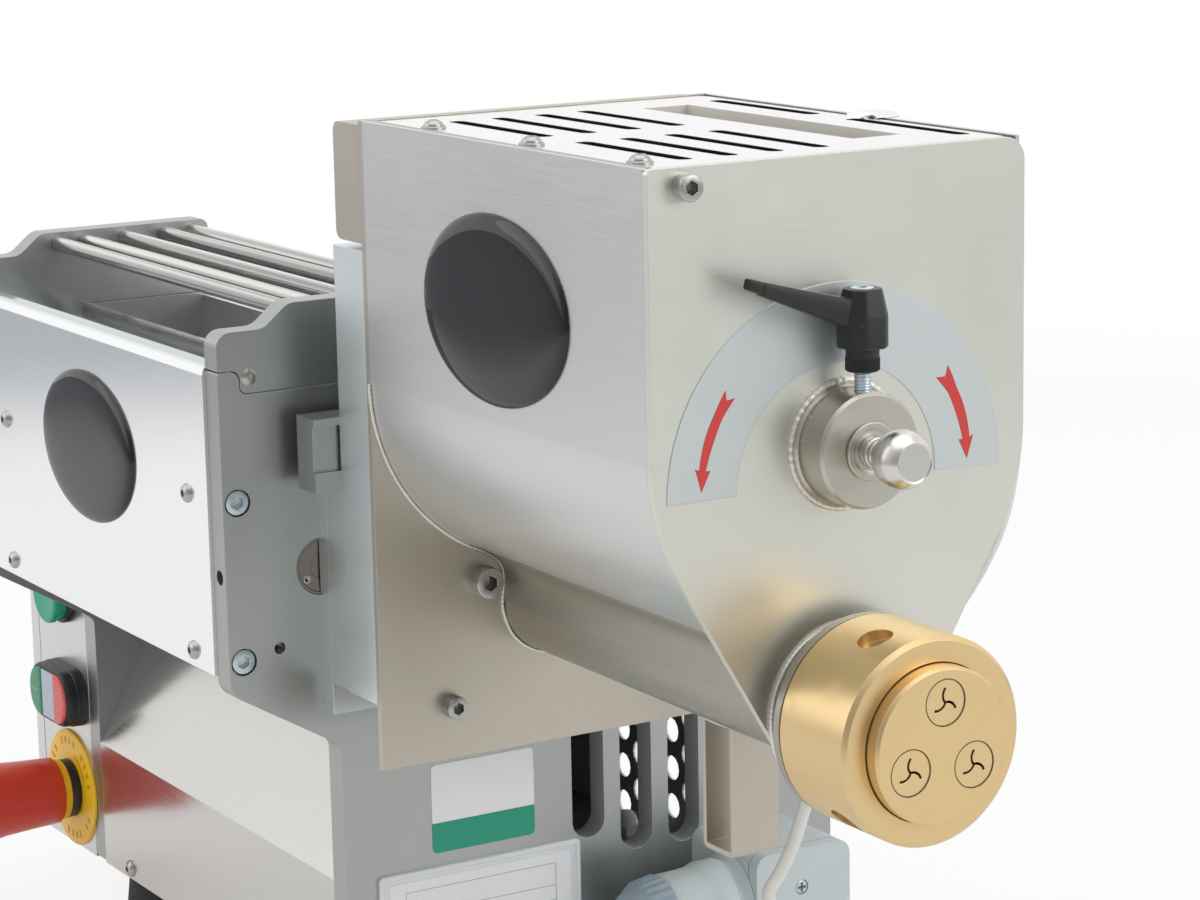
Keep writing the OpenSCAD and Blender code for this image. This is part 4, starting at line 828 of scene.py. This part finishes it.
def makeWelds():
    x = weld["foot"]
    for name, s in (("Front", -1), ("Rear", 1)):
        bowl = [(px, s * abs(y), z) for px, y, z in arc(x, bowlZ, weld["bowlR"], 180, 243, 16)]
        bead("bowlWeld" + name, bowl + [(x, s * y, z) for y, z in weld["turn"]], 0.75)
        outline = weld["runOut"] + weld["turn"][:9] + weld["core"]
        lofted("webFillet" + name, [[(end, s * y, z) for y, z in outline] for end in weld["web"]],
               working, "barrel", cut=True, slot="tank_steel", sharp=40)
    for name, (x, z, r, *size) in weld["rings"].items():
        bead(name, arc(x, z, r, 0, 360, 72), *size)
    for name, (outer, centre) in weld["bracket"].items():
        bead(name, [(x, *at) for x, at in zip(weld["bracketX"], (outer, centre, outer))], 0.8)


# direction label on the front plate: bare foil with two turning arrows
label = {"centre": (-2.8, 278.5), "inner": 40.85, "outer": 68.25, "from": -1.8, "to": 180.0,
         "thick": 0.25, "low": 0.02, "ink": 0.06, "steps": 60}
# each arrow in degrees from its tail to its tip, with the half widths of its parts
arrows = {"extrude": {"way": 1, "tail": 141.0, "headFrom": 169.4, "tip": 177.0, "r": 55.2,
                      "tailHalf": 2.4, "waist": 1.35, "headHalf": 3.1},
          "knead": {"way": -1, "tail": 37.0, "headFrom": 8.8, "tip": 1.2, "r": 54.9,
                    "tailHalf": 3.2, "waist": 1.5, "headHalf": 3.2}}


# an arrow's flat shape as a strip with its swallow tail and its head, then thickened
def inked(bm, side, other, notch, head):
    sunk = 0.05
    a, b, h = ([bm.verts.new((*p, label["thick"] - sunk)) for p in row]
               for row in (side, other, head))
    tail = bm.verts.new((*notch, label["thick"] - sunk))
    faces = [bm.faces.new(f) for f in ((a[0], a[1], tail), (a[1], a[2], tail), (b[0], tail, b[1]),
                                       (b[1], tail, b[2]), (a[2], b[2], tail))]
    faces += [bm.faces.new((a[k], b[k], b[k + 1], a[k + 1])) for k in range(2, len(a) - 1)]
    faces += [bm.faces.new((a[-1], h[0], h[1])), bm.faces.new((b[-1], h[1], h[2])),
              bm.faces.new((a[-1], h[1], b[-1]))]
    bmesh.ops.recalc_face_normals(bm, faces=faces)
    grown = bmesh.ops.extrude_face_region(bm, geom=faces)["geom"]
    bmesh.ops.translate(bm, vec=(0, 0, sunk + label["ink"]),
                        verts=[v for v in grown if isinstance(v, bmesh.types.BMVert)])


def makeArrow(name, arrow, place):
    r, tail, headFrom, n = arrow["r"], arrow["tail"], arrow["headFrom"], 16
    halves = [arrow["tailHalf"] + (arrow["waist"] - arrow["tailHalf"]) * min(1, 3.2 * k / n)
              + 0.55 * math.sin(math.pi * k / n) for k in range(n + 1)]
    at = [tail + (headFrom - tail) * k / n for k in range(n + 1)]
    barb = headFrom - arrow["way"] * 0.4
    head = [polar(r + arrow["headHalf"], barb), polar(r - 0.3, arrow["tip"]),
            polar(r - arrow["headHalf"], barb)]
    bm = bmesh.new()
    inked(bm, [polar(r + h, a) for a, h in zip(at, halves)],
          [polar(r - h, a) for a, h in zip(at, halves)], polar(r, tail + arrow["way"] * 2.6), head)
    piece(name + "Arrow", bm, place, "labelRed", slot="stop_red")


def makeLabel():
    place = seat((endFace, *label["centre"]), right)
    span, steps = label["to"] - label["from"], label["steps"]
    angles = [label["from"] + span * k / steps for k in range(steps + 1)]
    bm = bmesh.new()
    rows = [[bm.verts.new((*polar(label[r], a), label[h])) for a in angles] for r, h in
            (("inner", "low"), ("inner", "thick"), ("outer", "thick"), ("outer", "low"))]
    for a, b in zip(rows, rows[1:] + rows[:1]):
        for k in range(steps):
            bm.faces.new((a[k], a[k + 1], b[k + 1], b[k]))
    for k in (0, -1):
        bm.faces.new([row[k] for row in rows])
    piece("directionLabel", bm, place, "label", slot="white_plastic")
    for name, arrow in arrows.items():
        makeArrow(name, arrow, place)


# bare sticker, and name card in its clear holder, on the right plate
sticker = {"y": (-29.6, 18.4), "z": (83.5, 121.0), "band": 96.2, "thick": 0.18, "corner": 2.4}
card = {"y": (-55.1, 39.4), "z": (35.0, 78.0), "paper": (1.0, 1.12), "ink": (1.1, 1.15),
        # holder: (inset, height) of its backing, raised rim and bed
        "holder": ((0, 0.02), (0, 1.2), (0.4, 1.6), (2.0, 1.6), (2.3, 1.0)),
        # rules: distances below the top edge; the last is above the foot
        "margin": 12, "rule": 0.12, "rules": (8.5, 18.0, 24.5, 31.0), "last": 6.5}


def makeSticker():
    y0, y1 = sticker["y"]
    z0, z1 = sticker["z"]
    c = sticker["corner"]
    for name, low, high, finish, radii in (
            ("stickerField", sticker["band"], z1, "sticker", (0, 0, c, c)),
            ("stickerBand", z0, sticker["band"], "stickerGreen", (c, c, 0, 0))):
        corners = ((y0, low), (y1, low), (y1, high), (y0, high))
        outline = rounded([(*at, r) for at, r in zip(corners, radii)])
        lofted(name, levels(outline, 0.01, sticker["thick"]), seat((0, 0, 0), right), finish,
               slot="white_plastic")


def makeCard():
    (y0, y1), (z0, z1) = card["y"], card["z"]
    w, h = y1 - y0, z1 - z0
    place = seat((0, (y0 + y1) / 2, (z0 + z1) / 2), right)
    lofted("cardHolder", [flat(roundRect(w - 2 * i, h - 2 * i, max(0.5, 2 - i)), z)
                          for i, z in card["holder"]], place, "holder", slot="white_plastic")
    lofted("nameCard", levels(roundRect(w - 9.0, h - 8.0, 0.6), *card["paper"]), place, "card",
           slot="white_plastic")
    bm = bmesh.new()
    side, thin = w / 2 - card["margin"], card["rule"]
    heights = [h / 2 - down for down in card["rules"]] + [-h / 2 + card["last"]]
    for y in heights:
        bar(bm, -side, side, y - thin, y + thin, *card["ink"])
    for x in (-side, side):
        bar(bm, x - thin, x + thin, heights[-1], heights[0], *card["ink"])
    piece("cardRules", bm, place, "cardInk", slot="white_plastic")


# push buttons and emergency stop on the control box; depths are from the box's front
controls = {"x": -286.0, "face": edge("control_box", 0, "y"), "greenZ": 142.3, "twinZ": 93.7,
            "stopZ": 47.0}


def onBox(height):
    return seat((controls["x"], controls["face"], controls[height]), front)


def makeGreen():
    place = onBox("greenZ")
    turned("greenCap", [(-3, 0), (-3, 9.2), (3.2, 9.2), (3.2, 12.5), (6.9, 12.6), (6.9, 13.4),
                        (7.2, 13.75), (8.8, 13.8), (9.7, 13.6), (10.2, 13.1), (10.45, 12.3),
                        (10.5, 11.3), (10.2, 9.0), (9.9, 5.0), (9.8, 0)],
           place, "green", "green_button", stands=("green_button",))
    turned("greenBezel", [(0, 12.75), (0, 14.6), (2.6, 14.6), (3.2, 14.35), (3.6, 13.9),
                          (3.6, 12.75)], place, "black", closed=True, stands=("button_bezels",))


# twin button: housing, lens in the middle, a key at each end
twin = {"size": (47.0, 28.0, 13.0), "lens": (14, 22.8, 0.3), "lensDeep": (3.0, 10.9), "split": 7.3,
        "housing": ((0, 0.0), (0, 1.0), (0.15, 1.3), (0.15, 4.6), (0.6, 5.0), (0.7, 8.2),
                    (1.0, 9.3), (1.5, 10.1), (1.85, 10.4), (2.0, 10.4), (2.0, 3.0)),
        "key": ((2.3, 6.4), (2.3, 10.5), (2.5, 11.0), (3.0, 11.3), (3.9, 11.4)),
        "mark": (11.3, 11.46), "markX": -14.8, "ringX": 14.0}


def pill(inset):
    w, h, r = twin["size"]
    return roundRect(w - 2 * inset, h - 2 * inset, r - inset, 8)


# one end of the outline, cut square next to the lens
def halfPill(side, inset):
    cut = twin["split"] + max(0.0, inset - twin["key"][0][0])
    return [(side * max(cut, x * side), y) for x, y in pill(inset)]


def makeTwin():
    place = onBox("twinZ")
    lofted("twinHousing", [flat(pill(inset), z) for inset, z in twin["housing"]], place,
           "black", slot="black_plastic")
    w, h, r = twin["lens"]
    corners = [(x * w / 2, y * h / 2, r) for x, y in ((-1, -1), (1, -1), (1, 1), (-1, 1))]
    lofted("twinLens", levels(rounded(corners), *twin["lensDeep"]), place, "lens",
           slot="white_plastic", bevel=0.4)
    for side, name, finish in ((-1, "start", "keyGreen"), (1, "stop", "red")):
        bm = bmesh.new()
        loft(bm, [flat(halfPill(side, inset), z) for inset, z in twin["key"]])
        bmesh.ops.remove_doubles(bm, verts=bm.verts, dist=1e-4)
        piece(name + "Key", bm, place, finish, name + "_button", stands=(name + "_button",))
    low, high = twin["mark"]
    bm = bmesh.new()
    bar(bm, twin["markX"] - 3.4, twin["markX"] + 3.4, -0.35, 0.35, low, high)
    piece("startMark", bm, place, "keyGreenMark", "start_button", slot="white_plastic")
    turned("stopMark", [(low, 3.9), (low, 4.6), (high, 4.6), (high, 3.9)],
           place @ Matrix.Translation((twin["ringX"], 0, 0)), "redMark", "stop_button", 48, True,
           slot="white_plastic")


# emergency stop: the disc's marks are plain blocks where words would stand, and two arrows
stop = {"ink": (1.45, 1.62), "blockR": (21.3, 24.4), "blocksFrom": (14, 194), "blockTurn": 12.4,
        "blockHalf": (0.713, 0.93), "arrowR": 17.6, "arrowHalf": 0.55,
        "arrows": ((70, 20), (250, 200))}


# a flat arrow bent round the axis
def curvedArrow(bm, r, half, first, last, low, high):
    n, way, wide = 12, 1 if last > first else -1, 2.1
    body = last - way * 11
    at = [first + (body - first) * k / n for k in range(n + 1)]
    outline = [polar(r + half, a) for a in at] + [polar(r + half * wide, body), polar(r, last),
                                                  polar(r - half * wide, body)]
    loft(bm, levels(outline + [polar(r - half, a) for a in reversed(at)], low, high))


def makeStopMarks(place):
    bm = bmesh.new()
    for start in stop["blocksFrom"]:
        for k in range(12):
            if k % 5 != 4:
                half = stop["blockHalf"][k % 2]
                part = bmesh.new()
                bar(part, *stop["blockR"], -half, half, *stop["ink"])
                join(bm, part, Matrix.Rotation(math.radians(start + k * stop["blockTurn"]), 4, "Z"))
    for turn in stop["arrows"]:
        curvedArrow(bm, stop["arrowR"], stop["arrowHalf"], *turn, *stop["ink"])
    cutUp(bm)
    piece("stopDiscMarks", bm, place, "ochre", slot="stop_yellow")


def makeStop():
    place = onBox("stopZ")
    turned("stopDisc", [(0, 11.06), (0, 27.9), (0.9, 27.9), (1.3, 27.6), (1.5, 27.0),
                        (1.5, 11.06)], place, "yellow", steps=96, closed=True,
           stands=("estop_base",))
    makeStopMarks(place)
    turned("stopNut", [(1.52, 11.06), (1.52, 13.6), (2.0, 13.8), (5.9, 13.8), (6.3, 13.5),
                       (6.3, 11.06)], place, "black", closed=True, slot="black_plastic")
    turned("stopCollar", [(6.34, 11.06), (6.34, 13.9), (6.8, 14.2), (11.9, 14.2), (12.4, 13.9),
                          (12.4, 11.06)], place, "yellow", closed=True, slot="stop_yellow")
    turned("stopHead", [(-3, 0), (-3, 11), (17, 11), (17, 14.5), (10.05, 14.5), (10.05, 15.2),
                        (10.5, 15.6), (24, 16.3), (37, 17.2), (43, 18.1), (48, 19.2), (51, 19.85),
                        (52.6, 19.95), (54.2, 19.6), (55.6, 18.7), (56.6, 17.4), (57.0, 15.8),
                        (57.0, 0)], place, "stopRed", "estop", 96, stands=("estop_head",),
           sharp=45)


# brown turned face of the shaft that the thickness knob turns, in the right plate
def makeShaftFace():
    place = seat((0, *gapAxis), right)
    turned("shaftFace", [(-2.99, 0), (-2.99, 11.55), (-0.35, 11.55), (0.0, 11.25), (0.0, 10.6),
                         (-0.5, 10.2), (-0.5, 8.4), (-0.62, 8.2), (-0.62, 5.4), (-0.8, 5.2),
                         (-0.85, 0)], place, "brown", "gap_shaft", slot="dark_steel", sharp=30)
    turned("shaftPin", [(-0.62, 0), (-0.62, 1.9), (-0.28, 1.7), (-0.22, 1.0), (-0.5, 0.9),
                        (-0.5, 0)], place @ Matrix.Translation((-7.0, -4.6, 0)), "screw",
           "gap_shaft", 32, slot="fastener_steel")


# plug in the grey wiring box, on a foot that carries it over the box's shoulder
plug = {"at": (28, 44, 47), "ridges": 26,
        # foot: (distance along, low, high, left, right) of its sections
        "foot": ((26.2, 20.4, 17.88, 2, 44), (27, 20.1, 27.9, 0.6, 45.4),
                 (35, 20.1, 28.5, 0.6, 45.4), (36, 20.4, 18.0, 2, 44))}


def makePlug():
    place = seat(plug["at"], rear)
    ridged = lambda r: lambda a: r - 0.42 + 0.42 * math.cos(plug["ridges"] * a)
    turned("plugNut", [(0, 0), (0, 9.6), (0.6, 11.2), (2.2, 12.4), (5.0, 14.2), (7.0, 15.6),
                       (8.0, ridged(16.6)), (17.0, ridged(18.0)), (17.8, 17.2), (17.8, 0)],
           place, "nutGrey", steps=208, stands=("cable_plug",), sharp=35)
    turned("plugBody", [(17.9, 0), (17.9, 16.6), (20.0, 17.4), (30.0, 17.6), (36.0, 18.1),
                        (38.2, 19.3), (45.8, 19.4), (46.4, 18.6), (48.5, 18.2), (50.3, 19.6),
                        (51.3, 21.6), (51.35, 0)],
           place, "greyPlastic", slot="grey_plastic", sharp=35)


def makePlugFoot():
    start = plug["at"][1]
    rows = []
    for y, low, high, x0, x1 in plug["foot"]:
        outline = rounded([(x0, low, 2), (x1, low, 2), (x1, high, 2), (x0, high, 2)])
        rows.append([(x, y + start, z) for x, z in outline])
    lofted("plugFoot", rows, working, "greyPlastic", slot="grey_plastic", bevel=0.5)


# cross-head screws of the box's lid; each cross recess is a thin dark cross laid on the head,
# painted shade
boxScrews = {"x": 48.55, "y": 118, "z": {"Upper": 55, "Lower": 34}, "arm": 2.0, "half": 0.55}


def makeBoxScrews():
    arm, half = boxScrews["arm"], boxScrews["half"]
    cross, quarter = [], [(arm, half), (half, half), (half, arm)]
    for _ in range(4):
        cross += quarter
        quarter = [(-y, x) for x, y in quarter]
    for name, z in boxScrews["z"].items():
        place = seat((boxScrews["x"], boxScrews["y"], z), right)
        turned("boxScrew" + name, [(0, 0), (0, 3.05), (0.9, 3.05), (1.2, 2.8), (1.35, 2.4),
                                   (1.35, 0)], place, "zinc", steps=40, slot="fastener_steel")
        # dark cross on the head: painted shade of the recess
        lofted("boxScrewCrossShade" + name, levels(cross, 1.3, 1.4), place, "dark", cut=True,
               slot="fastener_steel")


# the lead from the box, in front of it and up the tank's rear wall to the lid's switch
lead = {"r": 2.75, "route": (
    (47, 110, 27), (50, 110, 27), (58, 109.5, 27), (66, 107.5, 28), (74, 102, 33), (80, 94, 42),
    (82.5, 85, 54), (83, 79, 68), (84, 84, 77), (86, 89.4, 89), (90, 92, 104), (101, 90, 121),
    (122, 85, 143), (152, 82, 168), (184, 82, 194), (210, 84, 222), (228, 85, 252),
    (235, 84, 284), (228, 82, 312), (208, 81, 336), (184, 81, 352), (167, 81.5, 360),
    (162, 81.5, 366), (162, 81.5, 369.5))}
# saddles that hold it on the tank's wall: place and direction of each
clips = {"Low": ((232.6, 83.2, 298.0), (-0.3, -0.05, 0.95)),
         "High": ((201.0, 81.0, 341.5), (-0.83, 0, 0.56))}
clip = {"wall": 76.75, "inner": 2.82, "outer": 3.9, "foot": 7.4, "thick": 1.0, "half": 3.2}


def makeLead():
    bm = bmesh.new()
    tube(bm, smoothWay(lead["route"], 2.0), lead["r"], 20)
    piece("switchLead", bm, working, "cable", stands=("switch_cable",), sharp=70)
    turned("leadGrommet", [(-1.0, 2.8), (-1.0, 3.9), (0.05, 3.9), (0.05, 5.2), (0.8, 5.1),
                           (1.4, 4.3), (1.8, 3.3), (1.8, 2.8)], seat(lead["route"][1], right),
           "nutGrey", steps=40, closed=True, slot="grey_plastic")


def makeClips():
    foot, thick = clip["foot"], clip["thick"]
    for name, (at, along) in clips.items():
        w = Vector(along).normalized()
        u = (Vector(rear) - w * w.y).normalized()
        v = w.cross(u)
        deep = at[1] - clip["wall"]
        over = [polar(clip["outer"], 90 - a) for a in range(0, 181, 20)]
        under = [polar(clip["inner"], 90 - a) for a in range(180, -1, -20)]
        profile = [(-deep, foot), (-deep + thick, foot), (-deep + thick + 0.1, 4.1), *over,
                   (-deep + thick + 0.1, -4.1), (-deep + thick, -foot), (-deep, -foot),
                   (-deep, -2.85), *under, (-deep, 2.85)]
        ends = (Vector(at) - w * clip["half"], Vector(at) + w * clip["half"])
        lofted("leadClip" + name, [[c + u * p + v * q for p, q in profile] for c in ends], working,
               "greyPlastic", cut=True, slot="grey_plastic", bevel=0.25)


# lid: screws on washers, the hinge leaf with its knuckles, and the magnet's tab
lidParts = {"x": (51.6, 245.4), "pin": (-73.4, 388.8), "low": 388.1, "screwY": -67.0,
            "screws": (88.5, 159.45, 230.4), "knuckleR": 1.5, "knuckles": 7, "ours": (1, 3, 5),
            "gap": 0.15}
# tab: (x, z) along its top, which runs level and turns down at one end, and back below
tab = {"y": (72.0, 82.1),
       "top": ((153.5, 391.5), (160, 391.7), (164.5, 391.6), (167.5, 391.2), (169.6, 390.5),
               (170.0, 390.0)),
       "under": ((169.2, 389.7), (167.0, 390.3), (164.0, 390.6), (160, 390.7), (153.5, 390.6)),
       "foot": (155, 166, 69, 73, 389.55, 390.9)}


def makeLidScrews():
    bm = bmesh.new()
    for x in lidParts["screws"]:
        place = seat((x, lidParts["screwY"], lidFace), upward)
        part = bmesh.new()
        lathe(part, [(0, 2.55), (0, 4.6), (0.7, 4.6), (1.0, 4.35), (1.0, 2.65), (0.8, 2.55)], 48,
              closed=True)
        join(bm, part, place)
        join(bm, buttonHead(3.7, 2.2, 1.35), place @ Matrix.Translation((0, 0, 1.0)))
        part = bmesh.new()
        lathe(part, [(-6.0, 0), (-6.0, 2.4), (0.2, 2.4), (0.2, 0)], 32)
        lathe(part, [(-6.0, hexagon(2.6)), (-2.55, hexagon(2.6)), (-2.55, 2.4), (-6.0, 2.4)], 48,
              closed=True)
        join(bm, part, place)
    piece("lidScrews", bm, Matrix(), "screw", "lid", stands=("lid_fittings",))


def makeLidLeaf():
    pinY, pinZ = lidParts["pin"]
    x0, x1 = lidParts["x"]

    def strip(bm, xs, y0, y1, z1):
        loft(bm, [[(x, pinY + y, lidParts["low"] + z) for y, z in
                   ((y0, -1), (y1, -1), (y1, z1), (y0, z1))] for x in xs])

    bm = bmesh.new()
    strip(bm, (x0, x1), 2.6, 12, 0)
    span = (x1 - x0 + 0.4) / lidParts["knuckles"]
    for k in lidParts["ours"]:
        start = x0 - 0.1 + k * span
        xs = (start + lidParts["gap"], start + span - lidParts["gap"])
        knuckle = [polar(lidParts["knuckleR"], 15 * t) for t in range(24)]
        loft(bm, [[(x, pinY + y, pinZ + z) for y, z in knuckle] for x in xs])
        strip(bm, xs, 0.9, 2.8, -0.1)
    piece("lidLeaf", bm, working, "screw", "lid", slot=slotOf["lid_fittings"], bevel=0.15)


def makeLidTab():
    bm = bmesh.new()
    loft(bm, [[(x, y, z) for x, z in tab["top"] + tab["under"]] for y in tab["y"]])
    bar(bm, *tab["foot"])
    cutUp(bm)
    piece("lidTab", bm, working, "lid", "lid", slot="lid_steel", sharp=50)


# joint lines round the die's three inserts: reach, turn and radius
inserts = {"reach": 15.0, "turn": 87.0, "r": 8.0, "half": 0.2, "proud": 0.02}


def makeInsertJoints():
    low, high = inserts["r"] - inserts["half"], inserts["r"] + inserts["half"]
    face = edge("die_disc", 1, "x")
    bm = bmesh.new()
    for k in range(3):
        y, z = polar(inserts["reach"], inserts["turn"] + 120 * k)
        ring = bmesh.new()
        lathe(ring, [(-0.05, low), (inserts["proud"], low), (inserts["proud"], high),
                     (-0.05, high)], 64, closed=True)
        join(bm, ring, seat((face, y, shaftZ + z), right))
    piece("insertJoints", bm, Matrix(), "joint", homeOf["die_disc"], slot="brass")


# centre hole in the rear roller's end, a thin dark disc that paints the hole's shade, and a cap nut
# on the base behind the vents
capNut = {"at": (-143.5, 150, 22.02), "half": 6.2}


def makeOddments():
    # dark disc on the roller's end: painted shade of its centre hole
    turned("rollerCentreShade", [(0.01, 0), (0.01, 3.4), (0.2, 3.2), (0.2, 2.7), (0.08, 1.4),
                            (0.08, 0)], seat((edge("rear_roller", 0, "x"), 0, shaftZ), left),
           "dark", homeOf["rear_roller"], 48, slot="dark_steel")
    flats = hexagon(capNut["half"])
    turned("baseNut", [(0, 0), (0, flats), (4.6, flats), (4.9, 5.6), (5.4, 5.5), (7.8, 5.0),
                       (9.6, 3.8), (10.6, 2.1), (10.9, 0)], seat(capNut["at"], upward),
           "whitePlastic", steps=48, slot="white_plastic")


stages = {"sheets and screws": (makeBadges, makeScrews),
          "lever and pin": (makeLever, makeStud, makePin),
          "welds, label and plates": (makeWelds, makeLabel, makeSticker, makeCard),
          "controls": (makeGreen, makeTwin, makeStop, makeShaftFace),
          "wiring": (makePlug, makePlugFoot, makeBoxScrews, makeLead, makeClips),
          "lid and oddments": (makeLidScrews, makeLidLeaf, makeLidTab, makeInsertJoints,
                               makeOddments)}
for stage, makers in stages.items():
    for make in makers:
        make()
    print(stage, "made")

# levels that each kind of ray meets; near is where the floor fades, in metres
studio = {"dim": 0.34, "dimSide": (-0.83, 0.5, 0.25), "sky": 0.7, "floor": 6.0,
          "near": (1.25, 1.9), "pale": (0.86, 0.86, 0.86), "far": (0.42, 0.44, 0.47),
          "glow": (0.95, 0.95, 0.95), "shadow": 0.86, "gloss": 0.45, "glossFar": 0.8}
lamps = {
    "overhead": {"at": (0.3, -0.1, 2.3), "size": (2.4, 2.4), "power": 13},
    "frontLeft": {"at": (-1.4, -2.2, 1.5), "size": (2.4, 2.4), "power": 12},
    "right": {"at": (2.2, 1.2, 1.4), "size": (1.8, 1.8), "power": 17},
}


# white to the camera; for metal the room is darker where no white backdrop hangs
def makeSky():
    world = bpy.data.worlds.new("studio")
    bpy.context.scene.world = world
    world.use_nodes = True
    kit = Kit(world.node_tree)
    sky = world.node_tree.nodes["Background"]
    seen = kit.add("LightPath", out="Is Camera Ray")
    sharp = kit.add("LightPath", out="Is Glossy Ray")
    through = kit.add("LightPath", out="Is Transmission Ray")
    side = kit.vector("DOT_PRODUCT", kit.add("TexCoord", out="Generated"), studio["dimSide"],
                      out=1)
    room = kit.ramp(side, -0.95, 0.15, studio["dim"], 1.0)
    level = kit.blend(sharp.sum("MAXIMUM", sharp, through), studio["sky"], room)
    kit.plug(sky.inputs["Color"], (1.0, 1.0, 1.0))
    kit.plug(sky.inputs["Strength"], kit.blend(seen, level, 1.0))


# pale floor: it keeps the shadow near the object and is plain white to the camera far off
def floorFinish():
    made, kit, shader = newFinish("pale floor")
    here = kit.place()
    speck = kit.cloud(here, 40.0, 3)
    far = kit.ramp(kit.vector("LENGTH", here, out=1), *studio["near"])
    seen = kit.add("LightPath", out="Is Camera Ray")
    glossy = kit.add("LightPath", out="Is Glossy Ray")
    tone = kit.mix(far, studio["pale"], studio["far"])
    kit.plug(shader.inputs["Base Color"], kit.scaled(tone, (speck - 0.5) * 0.02 + 1.0))
    kit.plug(shader.inputs["Roughness"], 0.8)
    glow = kit.add("Emission", None, {
        "Color": kit.mix(seen, kit.mix(far, studio["glow"], studio["far"]), (1, 1, 1)),
        "Strength": 1.0})
    share = (seen * kit.blend(far, studio["shadow"], 1.0)
             + (1 - seen) * glossy * kit.blend(far, studio["gloss"], studio["glossFar"]))
    mixed = kit.add("MixShader", None, {0: share, 1: Wire(kit, shader.outputs[0]), 2: glow})
    kit.plug(made.node_tree.nodes["Material Output"].inputs["Surface"], mixed)
    return made


def makeFloor():
    half = studio["floor"]
    mesh = bpy.data.meshes.new("floor")
    mesh.from_pydata([(x * half, y * half, 0) for x, y in ((-1, -1), (1, -1), (1, 1), (-1, 1))],
                     [], [(0, 1, 2, 3)])
    mesh.materials.append(floorFinish())
    floor = bpy.data.objects.new("floor", mesh)
    bpy.context.scene.collection.objects.link(floor)


def makeLamps():
    for name, lamp in lamps.items():
        data = bpy.data.lights.new(name, "AREA")
        data.shape = "RECTANGLE"
        data.size, data.size_y, data.energy = *lamp["size"], lamp["power"]
        body = bpy.data.objects.new(name, data)
        at = Vector(lamp["at"])
        aim = (Vector((0.05, 0, 0.25)) - at).to_track_quat("-Z", "Y")
        body.matrix_world = Matrix.Translation(at) @ aim.to_matrix().to_4x4()
        bpy.context.scene.collection.objects.link(body)


makeSky()
makeFloor()
makeLamps()
bpy.context.scene.view_settings.view_transform = "Standard"
print("studio lit")
